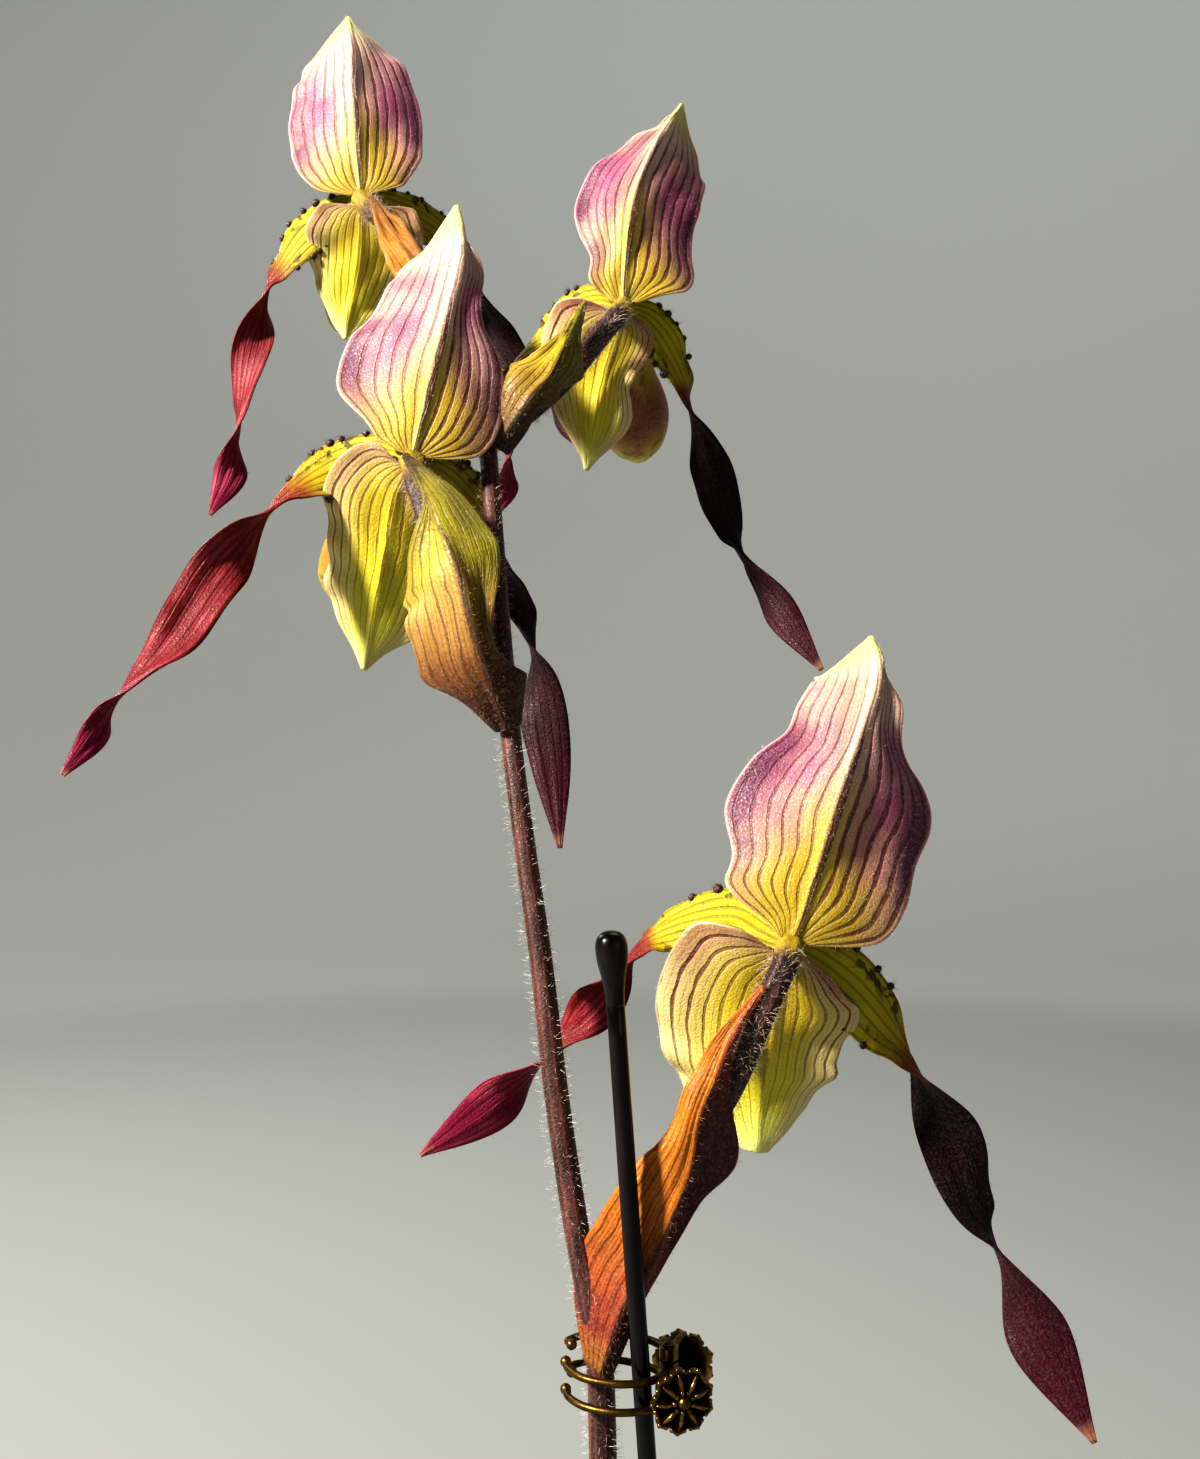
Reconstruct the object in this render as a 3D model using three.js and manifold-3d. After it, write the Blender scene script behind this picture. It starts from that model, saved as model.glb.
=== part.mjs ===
import * as THREE from "three";
import { mergeVertices } from "three/addons/utils/BufferGeometryUtils.js";
import Module from "manifold-3d";

// A slipper orchid in its pot: strap leaves, one hairy scape with four blooms, each with its bract,
// and a rod stake with a ball top that a small sprung claw clip holds to the scape.
// Millimetres, +Z up. The origin is the centre of the pot's flat base, and the blooms face +Y.

const GAP = 0.35; // between pieces that touch

const POT = {
  height: 115,
  baseRadius: 45,
  topRadius: 59,
  rimRadius: 63,
  rimHeight: 17,
  wall: 2.4,
  floor: 3,
  holes: 6,
  holeRadius: 4.5,
  holeRing: 31,
  sides: 32,
};
const BARK = { top: 97, sides: 32, chips: 27, chipRing: 46 };
const CROWN = { x: -2, y: 7, bottom: 80, top: 131, radius: 9.5, sides: 14 };
const STAKE = { top: [2.62, 0, 353.3], foot: [26.3, 0, 14], radius: 1.6, sides: 12 };
const BALL = [[0, 0.3], [1.7, 0.3], [1.85, 3.5], [2.3, 6], [2.75, 8], [2.8, 9.3], [2.45, 10.8], [1.5, 11.9], [0, 12.2]];
const HEAD = 3.3; // radius of an ovary's top, where a bloom's pieces are seated

// The scape runs up the first list to the node of bloom C, then back to the node of bloom A.
const SCAPE = {
  path: [
    [-1.5, 7, 132.5],
    [0.5, 7, 180],
    [1.2, 6.7, 230],
    [0.5, 6.5, 271.6],
    [-0.4, 6.5, 291.6],
    [-4.3, 8.5, 312],
    [-8, 13, 334.9],
    [-10.9, 18, 357.5],
    [-14, 22.5, 377.4],
    [-17, 28, 398],
    [-19.4, 36, 419],
    [-21.8, 46, 442.6],
    [-23.8, 55, 460],
    [-26.6, 60, 473.8],
    [-30, 64, 483.5],
  ],
  radius: [2.7, 2.6, 2.5, 2.45, 2.35, 2.25, 2.2, 2.1, 2, 1.95, 1.9, 1.85, 1.8, 1.7, 1.6],
  steps: 38,
  sides: 8,
};

// A bloom's pieces, by the points that their midribs run through. A blade starts on its head.
// left and right are half widths; turn is the angle of the blade about its midrib, in degrees,
// 0 where it lies square to Y; fold is how steeply its sides slope back from the midrib, and round
// is the radius that its section bends to, back from the midrib. lobe is how far the edges reach
// back toward the base.
const BLOOMS = {
  a: {
    head: [-58, 101, 529],
    ovary: [[-30.7, 64.8, 484.6], [-35.4, 70, 492.9], [-43, 80, 506.2], [-51, 91, 519.6]],
    dorsal: {
      mid: [[-58.5, 101, 536.3], [-59.4, 102, 546.4], [-60.7, 104, 555.9], [-62, 107, 565.9], [-63.6, 112, 578.4]],
      left: [3.5, 13.2, 17.2, 15.2, 9.6, 0.5],
      right: [3.5, 13.2, 17, 16.4, 11, 0.5],
      fold: [0, 0.1, 0.3, 0.35, 0.4, 0.3],
      lobe: [0, 3, 2, 0, 0, 0],
      wave: 0.7,
    },
    synsepal: {
      mid: [[-58.5, 102.5, 521.5], [-59.5, 105.5, 515.1], [-61.3, 108, 508.3], [-63, 110, 502.4], [-63.8, 110, 497.9]],
      left: [3.5, 15, 12.5, 8.5, 4.5, 0.5],
      right: [3.5, 12.5, 12, 8.5, 4.2, 0.5],
      fold: [0, 0.05, 0.15, 0.2, 0.2, 0.2],
      lobe: [0, 4, 3, 1, 0, 0],
      wave: 0.5,
    },
    petalLeft: {
      mid: [
        [-66.5, 105.5, 529.3], [-73.8, 108, 525.4], [-80, 110, 516.9], [-83.8, 110, 510.6], [-86.5, 108, 494.3],
        [-88.2, 105, 478.7], [-88.9, 103, 470.9], [-90.1, 101, 462], [-94.2, 98, 451.8],
      ],
      width: [2.6, 4.6, 5.2, 4.2, 3.2, 4.8, 3.6, 3, 4, 0.5],
      turn: [10, 10, 15, 40, 80, 175, 235, 270, 340, 360],
    },
    petalRight: {
      mid: [
        [-51.8, 105.5, 529.3], [-43.6, 109, 526.5], [-35.8, 113, 520.9], [-31, 116, 513], [-26.1, 118, 500.9],
        [-19.2, 118, 489.9], [-14, 117, 482.7], [-8.9, 115, 473.4], [-2.5, 112, 462.7],
      ],
      width: [2.6, 4.6, 5.2, 4.2, 3.2, 4.8, 4, 3.2, 4.2, 0.5],
      turn: [-10, -10, -15, -40, -80, -150, -200, -270, -340, -360],
    },
    pouch: { mouth: [-58, 111.5, 525], bottom: [-66, 127, 499], radius: 8.2 },
    bract: {
      mid: [[-30.8, 60.2, 482], [-35.5, 62, 492], [-42, 69.5, 504], [-48, 79, 513.5], [-53.5, 89.5, 524]],
      left: [3, 9, 10, 8, 0.5],
      right: [3, 8, 9, 8, 0.5],
      round: [2.7, 5, 6, 6, 6],
    },
  },
  b: {
    head: [-38.1, 44, 454.3],
    ovary: [[-19.4, 26.5, 406.5], [-22, 25.5, 413], [-25.9, 26, 422.6], [-30.7, 29.5, 436.4], [-35.2, 37, 447.4]],
    dorsal: {
      mid: [[-36.5, 44, 461.8], [-34.6, 45, 470.1], [-33.2, 46.5, 479.8], [-31.7, 48.5, 491], [-30.6, 51, 500.4], [-30.5, 54, 509.8]],
      left: [3.5, 11.5, 18.3, 16.3, 11.2, 5, 0.5],
      right: [3.5, 13.8, 14.9, 9.3, 8.6, 4, 0.5],
      fold: [0, 0.1, 0.3, 0.35, 0.4, 0.4, 0.3],
      lobe: [0, 3, 2, 0, 0, 0, 0],
      wave: 0.8,
    },
    synsepal: {
      mid: [[-41.8, 45.5, 447.2], [-44, 48.5, 438.5], [-46.1, 51.5, 429.4], [-48.2, 54, 421.1], [-49.8, 55, 413.1]],
      left: [3.5, 13, 13, 10.5, 7, 0.5],
      right: [3.5, 14, 14, 11.5, 7.5, 0.5],
      fold: [0, 0, 0.1, 0.2, 0.2, 0.2],
      lobe: [0, 5, 3, 1, 0, 0],
      wave: 0.6,
    },
    petalLeft: {
      mid: [
        [-46.1, 49.5, 456.5], [-54.5, 51.5, 455.6], [-61.7, 49.5, 451.6], [-68.3, 44.5, 444.4], [-75.5, 38, 431.7],
        [-83.5, 32, 416.4], [-91.8, 26, 405.6], [-94.5, 22, 399], [-99.1, 18, 391.6],
      ],
      width: [2.6, 4.6, 5.4, 4.8, 3.6, 5.6, 5, 2.6, 2.8, 0.5],
      turn: [10, 10, 15, 40, 85, 170, 200, 260, 330, 360],
    },
    petalRight: {
      mid: [
        [-32.7, 47.8, 453.2], [-29.1, 55, 450.5], [-25.3, 60, 446], [-21.6, 62, 439.2], [-18, 63, 429.1],
        [-15.2, 63, 419.4], [-12.8, 61, 406.3], [-10.4, 58, 391.9], [-8.4, 53, 375.2],
      ],
      width: [2.6, 4.4, 5.2, 4.6, 3.4, 3.2, 3, 5.2, 4.2, 0.5],
      turn: [-10, -10, -15, -40, -85, -150, -250, -340, -360, -360],
    },
    pouch: { mouth: [-39, 55.5, 450], bottom: [-54, 73, 421.5], radius: 9 },
    bract: {
      mid: [[-17.3, 25.1, 400], [-23.5, 19.8, 411.5], [-27, 18.5, 422.5], [-29.5, 20.5, 434], [-33.3, 27, 446], [-38, 36, 454.5]],
      left: [3.4, 13.5, 12, 8, 4, 0.5],
      right: [3.4, 10.5, 8.5, 12, 10, 0.5],
      round: [2.9, 8, 9.5, 9.5, 9, 8],
    },
  },
  c: {
    head: [5.4, 76, 495.1],
    ovary: [[-20.6, 54.5, 462.5], [-16.7, 54, 465.3], [-8.5, 57, 473.6], [-1.7, 64, 483.5], [3, 71.5, 491]],
    dorsal: {
      mid: [[6.8, 76, 503.7], [8.6, 77, 514.2], [11.4, 79.5, 525.6], [15.7, 83, 536.4], [19.3, 88, 546.1]],
      left: [3.5, 9.6, 14, 13, 7.4, 0.5],
      right: [3.5, 13.8, 13, 12.2, 6.4, 0.5],
      fold: [0, 0.1, 0.3, 0.35, 0.4, 0.3],
      lobe: [0, 3, 2, 0, 0, 0],
      wave: 0.7,
    },
    synsepal: {
      mid: [[3.2, 79, 487.6], [1.1, 81.5, 481.5], [-0.5, 83.5, 475.1], [-1.9, 85, 467.7], [-2.8, 85, 460.7]],
      left: [3.5, 10.5, 9.6, 9.2, 6.4, 0.5],
      right: [3.5, 15, 9.4, 9.4, 6, 0.5],
      fold: [0, 0.05, 0.15, 0.2, 0.2, 0.2],
      lobe: [0, 4.5, 3, 1, 0, 0],
      wave: 0.8,
    },
    petalLeft: {
      mid: [
        [-0.5, 80.5, 498.2], [-6.5, 84, 498.2], [-13.4, 89, 494.4], [-19.9, 95, 489.1], [-23.5, 102, 481.7],
        [-23.6, 108, 474.4], [-23.1, 112, 467.8], [-23.8, 115, 461.2], [-25.8, 117, 455.5],
      ],
      width: [2.6, 4.2, 4.8, 4.2, 3.4, 4.6, 4.2, 3, 3.4, 0.5],
      turn: [10, 10, 15, 40, 85, 150, 200, 270, 330, 360],
    },
    petalRight: {
      mid: [
        [11, 80.5, 495], [15.2, 82.5, 491], [18.5, 84, 483.7], [21.3, 84, 473.2], [25.8, 83, 459.9],
        [29, 81, 446.2], [32.8, 79, 438.6], [40.4, 74, 426.4], [48.8, 68, 413.1],
      ],
      width: [2.6, 4.2, 4.6, 4, 3, 4.8, 4.2, 2.4, 4, 0.5],
      turn: [-10, -10, -15, -40, -85, -170, -210, -270, -340, -360],
    },
    pouch: { mouth: [6, 87.5, 490], bottom: [10.5, 106, 464.5], radius: 8.8 },
    bract: {
      mid: [[-21.4, 51.4, 458.6], [-14, 48.6, 464.8], [-8, 50, 469.3], [-4.2, 53.5, 476.5], [-3.2, 58.5, 485.3], [-3.3, 63.5, 492]],
      left: [2.6, 8, 11, 11.5, 7, 0.5],
      right: [2.6, 8, 9, 8, 5, 0.5],
      turn: [0, 20, 25, 25, 15, 0],
      round: [2.8, 6.5, 7, 7, 7, 6],
    },
  },
  d: {
    head: [33.9, 10, 361.2],
    ovary: [[3.1, 8.7, 296.8], [6, 9.8, 304.5], [12, 9.2, 319.3], [22.2, 4.5, 335.7], [28.5, 3.5, 350.6], [32.5, 7, 358.2]],
    dorsal: {
      mid: [[37.1, 10, 368.7], [40.2, 11, 377.5], [43, 12.5, 388.2], [45.9, 15, 398.1], [49, 19, 407.3], [51.3, 24, 416.9]],
      left: [3.5, 13.6, 17.8, 18.6, 11.2, 7.8, 0.6],
      right: [3.5, 15.6, 19.4, 18.2, 11.4, 6.6, 0.6],
      fold: [0, 0.1, 0.3, 0.35, 0.4, 0.4, 0.3],
      lobe: [0, 4, 3, 0, 0, 0, 0],
      wave: 0.9,
    },
    synsepal: {
      mid: [[32.2, 12.5, 352.9], [31, 14, 345.3], [30, 15, 337.7], [29.4, 16, 330.2], [28.8, 16, 322.8]],
      left: [3.5, 11.5, 14.8, 13.4, 7.5, 2.2],
      right: [3.5, 20.5, 20.6, 16.5, 8, 2.2],
      fold: [0, 0.05, 0.15, 0.2, 0.2, 0.2],
      lobe: [0, 7, 5, 2, 0, 0],
      wave: 0.9,
    },
    petalLeft: {
      mid: [
        [29, 13.2, 363.6], [24.6, 17, 365.6], [17.6, 20, 364.4], [10.7, 22, 361.6], [6.2, 23, 358],
        [0, 25, 348.8], [-9.1, 26, 338.7], [-19.8, 24, 329.2], [-33.4, 20, 321],
      ],
      width: [2.8, 4.8, 5.6, 4.8, 4.2, 3.6, 4.9, 2.6, 5, 0.5],
      turn: [10, 10, 15, 30, 60, 90, 165, 265, 345, 360],
    },
    petalRight: {
      mid: [
        [39, 13.5, 358.7], [46, 17, 353], [53, 20, 345], [58.5, 21, 337.5], [65, 21, 324.6],
        [69, 20, 311.6], [73.6, 19, 303.2], [80.1, 15, 288.8], [88, 9, 273.1],
      ],
      width: [2.8, 5, 6.2, 5.6, 3.4, 5.6, 4.8, 2.6, 5.8, 0.5],
      turn: [-10, -10, -15, -30, -85, -170, -210, -270, -345, -360],
    },
    pouch: { mouth: [34.5, 22.5, 356], bottom: [38, 45, 328], radius: 9.4 },
    bract: {
      mid: [[0.2, 3.1, 288.5], [4, 2.3, 302], [8, 2.5, 316], [13.6, 1.6, 328.5], [18.4, 4.6, 341], [26.5, 7, 353]],
      left: [3.6, 7.5, 11.5, 9.5, 6.5, 0.6],
      right: [4.6, 12, 13, 10, 6.5, 0.6],
      turn: [15, 15, 0, -35, -95, -100],
      round: [3.3, 6.4, 7.8, 6.2, 5, 5],
    },
  },
};

// The strap leaves: the way each one points, how far it reaches and how high it rises and falls.
const LEAVES = [
  { heading: 24, base: 104, reach: 205, rise: 44, fall: 66, width: 19 },
  { heading: 200, base: 106, reach: 210, rise: 42, fall: 62, width: 19.5 },
  { heading: 58, base: 112, reach: 180, rise: 62, fall: 44, width: 18.5 },
  { heading: 168, base: 114, reach: 185, rise: 60, fall: 40, width: 19 },
  { heading: 98, base: 120, reach: 120, rise: 62, fall: 14, width: 16 },
  { heading: 236, base: 121, reach: 130, rise: 70, fall: 14, width: 16.5 },
];
const LEAF = { thick: 1.5, rows: 12 };

// The claw clip: two halves turn on one upright pin beside the stake. A half has a scalloped flower
// pad, two barrels on the pin, and two round prongs that curve round the scape and the stake.
// Points are across from the pin, and heights are from the clip's middle.
const CLIP = {
  pin: [12, 3.4],
  level: 287,
  pinRadius: 0.7,
  pinReach: 6.2,
  barrel: 1.7,
  prong: 0.65,
  pad: 5.6,
  padThick: 1.1,
  petals: 9,
  near: {
    heights: [2.4, -2.4],
    bow: [[-0.3, -1.3], [-1.9, -4.4], [-4.6, -6.4], [-9.6, -6.9], [-14.6, -4.8], [-17.4, -1.4], [-18, 1.6]],
    pad: [1.8, -7.6],
    lean: 0.3,
  },
  far: {
    heights: [4.8, 0],
    bow: [[-0.3, 1.3], [-3.6, 5], [-9.6, 7.7], [-14.6, 6.9], [-17.6, 4.6], [-17, 3]],
    pad: [2.8, 6.8],
    lean: -0.3,
  },
  spring: { height: -4.6, ring: 1.55, wire: 0.45 },
};

const RAD = Math.PI / 180;
const wasm = await Module();
wasm.setup();

const vec = (p) => new THREE.Vector3(...p);

// A smooth path through points, read at t from 0 to 1.
function path(points) {
  const curve = new THREE.CatmullRomCurve3(points.map(vec), false, "catmullrom", 0.5);
  const step = 1e-3;
  return {
    at: (t) => curve.getPoint(t),
    along: (t) => {
      const ahead = curve.getPoint(Math.min(t + step, 1));
      return ahead.sub(curve.getPoint(Math.max(t - step, 0))).normalize();
    },
  };
}

// A smooth run of evenly spaced values, read at t from 0 to 1.
function run(values) {
  const curve = new THREE.CatmullRomCurve3(
    values.map((value, i) => new THREE.Vector3(i, value, 0)),
    false,
    "catmullrom",
    0.5,
  );
  return (t) => curve.getPoint(t).y;
}

function geometryOf(points, triangles) {
  const geometry = new THREE.BufferGeometry();
  geometry.setAttribute("position", new THREE.Float32BufferAttribute(points.flatMap((p) => p.toArray()), 3));
  geometry.setIndex(triangles.flat());
  return geometry;
}

// A closed skin over a row of rings with the same number of points; each end is closed by a fan.
function skin(rings) {
  const sides = rings[0].length;
  const points = rings.flat();
  const triangles = [];
  for (let i = 0; i + 1 < rings.length; i += 1)
    for (let j = 0; j < sides; j += 1) {
      const a = i * sides + j;
      const b = i * sides + ((j + 1) % sides);
      triangles.push([a, b, b + sides], [a, b + sides, a + sides]);
    }
  const centre = (ring) => ring.reduce((sum, p) => sum.add(p), new THREE.Vector3()).divideScalar(sides);
  const last = (rings.length - 1) * sides;
  points.push(centre(rings[0]), centre(rings.at(-1)));
  for (let j = 0; j < sides; j += 1) {
    const k = (j + 1) % sides;
    triangles.push([points.length - 2, k, j], [points.length - 1, last + j, last + k]);
  }
  return facingOut(geometryOf(points, triangles));
}

// The geometry with its faces turned outward.
function facingOut(geometry) {
  const p = geometry.getAttribute("position");
  const index = geometry.getIndex().array;
  const corner = (i) => new THREE.Vector3().fromBufferAttribute(p, index[i]);
  let volume = 0;
  for (let i = 0; i < index.length; i += 3) volume += corner(i).dot(corner(i + 1).cross(corner(i + 2)));
  if (volume < 0) for (let i = 0; i < index.length; i += 3) [index[i + 1], index[i + 2]] = [index[i + 2], index[i + 1]];
  return geometry;
}

// A round tube of changing radius along a path, with a domed end of the given length at each end.
function tube(points, radii, steps, sides, dome = 0.5) {
  const line = path(points);
  const radius = run(radii);
  const rings = [];
  let side = new THREE.Vector3(1, 0, 0);
  const ring = (t, scale, shift) => {
    const along = line.along(t);
    side = side.clone().addScaledVector(along, -side.dot(along)).normalize();
    const other = along.clone().cross(side);
    const centre = line.at(t).addScaledVector(along, shift);
    return Array.from({ length: sides }, (_, k) => {
      const angle = (k / sides) * 2 * Math.PI;
      return centre
        .clone()
        .addScaledVector(side, Math.cos(angle) * radius(t) * scale)
        .addScaledVector(other, Math.sin(angle) * radius(t) * scale);
    });
  };
  rings.push(ring(0, 0.6, -dome));
  for (let i = 0; i <= steps; i += 1) rings.push(ring(i / steps, 1, 0));
  rings.push(ring(1, 0.6, dome));
  return skin(rings);
}

// A thin blade about a midrib, the same net of triangles on both of its faces.
function blade(spec) {
  const line = path(spec.mid);
  const left = run(spec.left ?? spec.width);
  const right = run(spec.right ?? spec.width);
  const turn = run(spec.turn ?? [0, 0]);
  const fold = run(spec.fold ?? [0.12, 0.12]);
  const round = run(spec.round ?? [500, 500]);
  const lobe = run(spec.lobe ?? [0, 0]);
  const toward = vec(spec.toward ?? [0, 1, 0]);
  const { rows, columns, thick = 0.8, wave = 0, waves = 3.5 } = spec;
  const surface = (t, u) => {
    const along = line.along(t);
    const level = toward.clone().cross(along).normalize();
    const deep = along.clone().cross(level);
    const angle = turn(t) * RAD;
    const across = level.clone().multiplyScalar(Math.cos(angle)).addScaledVector(deep, Math.sin(angle));
    const back = along.clone().cross(across);
    const half = Math.max(u < 0 ? left(t) : right(t), 0.3);
    const bend = (half * Math.abs(u)) / round(t);
    const reach = round(t) * Math.sin(bend);
    const drop = round(t) * (1 - Math.cos(bend)) + fold(t) * half * Math.abs(u);
    const ripple = wave * u * u * Math.sin(2 * Math.PI * waves * t + (u < 0 ? 2 : 0)) * Math.sin(Math.PI * t);
    const point = line.at(t).addScaledVector(across, Math.sign(u) * reach).addScaledVector(back, drop + ripple);
    return point.addScaledVector(along, -lobe(t) * u * u);
  };
  const step = 0.002;
  const front = [];
  const rear = [];
  for (let i = 0; i <= rows; i += 1)
    for (let j = 0; j <= columns; j += 1) {
      const t = i / rows;
      const u = (2 * j) / columns - 1;
      const dt = surface(Math.min(t + step, 1), u).sub(surface(Math.max(t - step, 0), u));
      const du = surface(t, Math.min(u + 0.02, 1)).sub(surface(t, Math.max(u - 0.02, -1)));
      const normal = dt.cross(du).normalize();
      front.push(surface(t, u).addScaledVector(normal, thick / 2));
      rear.push(surface(t, u).addScaledVector(normal, -thick / 2));
    }
  const n = front.length;
  const wide = columns + 1;
  const triangles = [];
  const quad = (a, b, c, d) => triangles.push([a, b, c], [a, c, d]);
  for (let i = 0; i < rows; i += 1)
    for (let j = 0; j < columns; j += 1) {
      const a = i * wide + j;
      quad(a, a + wide, a + wide + 1, a + 1);
      triangles.push([n + a, n + a + wide + 1, n + a + wide], [n + a, n + a + 1, n + a + wide + 1]);
    }
  for (let i = 0; i < rows; i += 1) {
    const a = i * wide;
    const b = a + columns;
    quad(a, n + a, n + a + wide, a + wide);
    quad(b, b + wide, n + b + wide, n + b);
  }
  for (let j = 0; j < columns; j += 1) {
    const b = rows * wide + j;
    quad(j, j + 1, n + j + 1, n + j);
    quad(b, n + b, n + b + 1, b + 1);
  }
  return facingOut(geometryOf([...front, ...rear], triangles));
}

// A blade's midrib from the skin of a bloom's head, with the first point's direction kept.
function seated(head, mid) {
  const out = vec(mid[0]).sub(vec(head)).normalize();
  return [vec(head).addScaledVector(out, HEAD + GAP + 0.1).toArray(), ...mid];
}

// A slipper-shaped pouch: a cup on a line from its mouth to its bottom, with an open, flared mouth
// and a short claw that runs from its rim to the head.
function pouch(head, { mouth, bottom, radius }) {
  const top = vec(mouth);
  const axis = vec(bottom).sub(top);
  const length = axis.length();
  axis.normalize();
  const side = new THREE.Vector3(1, 0, 0).addScaledVector(axis, -axis.x).normalize();
  const other = axis.clone().cross(side);
  const wall = 0.9;
  const outside = [[0, 0.82], [0.1, 0.72], [0.25, 0.84], [0.45, 1], [0.65, 0.98], [0.82, 0.8], [0.94, 0.48], [0.99, 0.2]];
  const inside = [[0.95, 0.18], [0.9, 0.42], [0.79, 0.74], [0.64, 0.98], [0.45, 1], [0.25, 0.84], [0.1, 0.72], [0.02, 0.8]];
  const ring = (along, out) =>
    Array.from({ length: 10 }, (_, k) => {
      const angle = (k / 10) * 2 * Math.PI;
      return top
        .clone()
        .addScaledVector(axis, along * length)
        .addScaledVector(side, Math.cos(angle) * out)
        .addScaledVector(other, Math.sin(angle) * out * 0.86);
    });
  const rings = [...outside].reverse().map(([along, out]) => ring(along, out * radius));
  const inner = [...inside].reverse().map(([along, out]) => ring(along, out * radius - wall));
  const root = vec(head).addScaledVector(new THREE.Vector3(0, 0.85, -0.53), HEAD + GAP + 0.2);
  const rim = top.clone().addScaledVector(axis, 0.12 * length);
  const toHead = vec(head).sub(rim);
  toHead.addScaledVector(axis, -toHead.dot(axis)).normalize();
  rim.addScaledVector(toHead, radius * 0.86 * 0.73 - wall / 2);
  const claw = tube([root, rim].map((p) => p.toArray()), [1.1, 1], 3, 8, 0.2);
  return fromSolid(solid(skin([...rings, ...inner])).add(solid(claw)));
}

// The column with its shield, in front of the head.
function column([x, y, z]) {
  const neck = bar([x, y + HEAD + GAP, z + 0.6], [x, y + 6.4, z + 2.4], 1.5, 8);
  const shield = new THREE.SphereGeometry(1, 10, 6);
  shield.scale(3.6, 1.3, 4.2);
  shield.translate(x, y + 6.6, z + 3);
  return fromSolid(solid(neck).add(solid(shield)));
}

// A three.js geometry as a solid that can be cut and joined, and back.
function solid(geometry) {
  const bare = geometry.clone();
  bare.deleteAttribute("normal");
  bare.deleteAttribute("uv");
  const merged = mergeVertices(bare, 1e-4);
  return new wasm.Manifold(
    new wasm.Mesh({
      numProp: 3,
      vertProperties: merged.getAttribute("position").array,
      triVerts: new Uint32Array(merged.getIndex().array),
    }),
  );
}

function fromSolid(manifold) {
  const { vertProperties, triVerts, numProp } = manifold.getMesh();
  const points = [];
  for (let i = 0; i < vertProperties.length; i += numProp) points.push(new THREE.Vector3(...vertProperties.slice(i, i + 3)));
  const triangles = [];
  for (let i = 0; i < triVerts.length; i += 3) triangles.push([...triVerts.slice(i, i + 3)]);
  return geometryOf(points, triangles);
}

// A round bar between two points.
function bar(from, to, radius, sides) {
  const a = vec(from);
  const b = vec(to);
  const geometry = new THREE.CylinderGeometry(radius, radius, a.distanceTo(b), sides);
  const up = new THREE.Vector3(0, 1, 0);
  geometry.applyQuaternion(new THREE.Quaternion().setFromUnitVectors(up, b.clone().sub(a).normalize()));
  geometry.translate(...a.add(b).multiplyScalar(0.5).toArray());
  return geometry;
}

// A lathed body about +Z from its profile of radius and height.
function turned(profile, sides) {
  const geometry = new THREE.LatheGeometry(profile.map(([r, z]) => new THREE.Vector2(r, z)), sides);
  geometry.rotateX(Math.PI / 2);
  return geometry;
}

// Repeatable draws from 0 to 1.
function draws(seed) {
  let state = seed;
  return () => {
    state = (state * 1664525 + 1013904223) % 4294967296;
    return state / 4294967296;
  };
}

function potGeometry() {
  const { height, baseRadius, topRadius, rimRadius, rimHeight, wall, floor, sides } = POT;
  const under = height - rimHeight;
  const cup = turned(
    [
      [0, 0], [baseRadius, 0], [topRadius, under], [rimRadius - 0.6, under + 1], [rimRadius, height - 1],
      [rimRadius - 1, height], [rimRadius - wall, height - 0.5], [topRadius - wall, under], [baseRadius - wall, floor],
      [0, floor],
    ],
    sides,
  );
  let body = solid(cup);
  for (let k = 0; k < POT.holes; k += 1) {
    const angle = (k / POT.holes) * 2 * Math.PI;
    const at = [POT.holeRing * Math.cos(angle), POT.holeRing * Math.sin(angle)];
    body = body.subtract(solid(bar([...at, -2], [...at, floor + 2], POT.holeRadius, 12)));
  }
  return fromSolid(body);
}

// Bark that fills the pot: packed below, loose chips on top, with plain holes for crown and stake.
function barkGeometry() {
  const radiusAt = (z) => {
    const under = POT.height - POT.rimHeight;
    return POT.baseRadius + ((POT.topRadius - POT.baseRadius) * (z - POT.floor)) / (under - POT.floor) - POT.wall - GAP;
  };
  const bottom = POT.floor + GAP;
  let body = solid(turned([[0, bottom], [radiusAt(bottom), bottom], [radiusAt(BARK.top - 3), BARK.top - 3], [52, BARK.top], [0, BARK.top]], BARK.sides));
  const draw = draws(7);
  for (let k = 0; k < BARK.chips; k += 1) {
    const ring = BARK.chipRing * Math.sqrt((k + 0.5) / BARK.chips);
    const angle = k * 2.39996;
    const chip = new THREE.BoxGeometry(13 + 7 * draw(), 9 + 5 * draw(), 3.5 + 2 * draw());
    chip.rotateX((draw() - 0.5) * 0.7);
    chip.rotateY((draw() - 0.5) * 0.7);
    chip.rotateZ(draw() * Math.PI);
    chip.translate(ring * Math.cos(angle), ring * Math.sin(angle), BARK.top + 0.8 + draw());
    body = body.add(solid(chip));
  }
  const { x, y, bottom: low, top, radius } = CROWN;
  body = body.subtract(solid(bar([x, y, low - GAP], [x, y, top], radius + GAP, CROWN.sides)));
  body = body.subtract(solid(bar([...STAKE.foot.slice(0, 2), STAKE.foot[2] - 1], STAKE.top, STAKE.radius + GAP, STAKE.sides)));
  const inside = [[0, bottom], [radiusAt(bottom), bottom], [radiusAt(POT.height - POT.rimHeight), POT.height - POT.rimHeight]];
  const clear = turned([...inside, [radiusAt(POT.height - POT.rimHeight), POT.height], [0, POT.height]], BARK.sides);
  body = body.intersect(solid(clear));
  const pieces = body.decompose();
  return fromSolid(pieces.reduce((best, piece) => (piece.volume() > best.volume() ? piece : best)));
}

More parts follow.
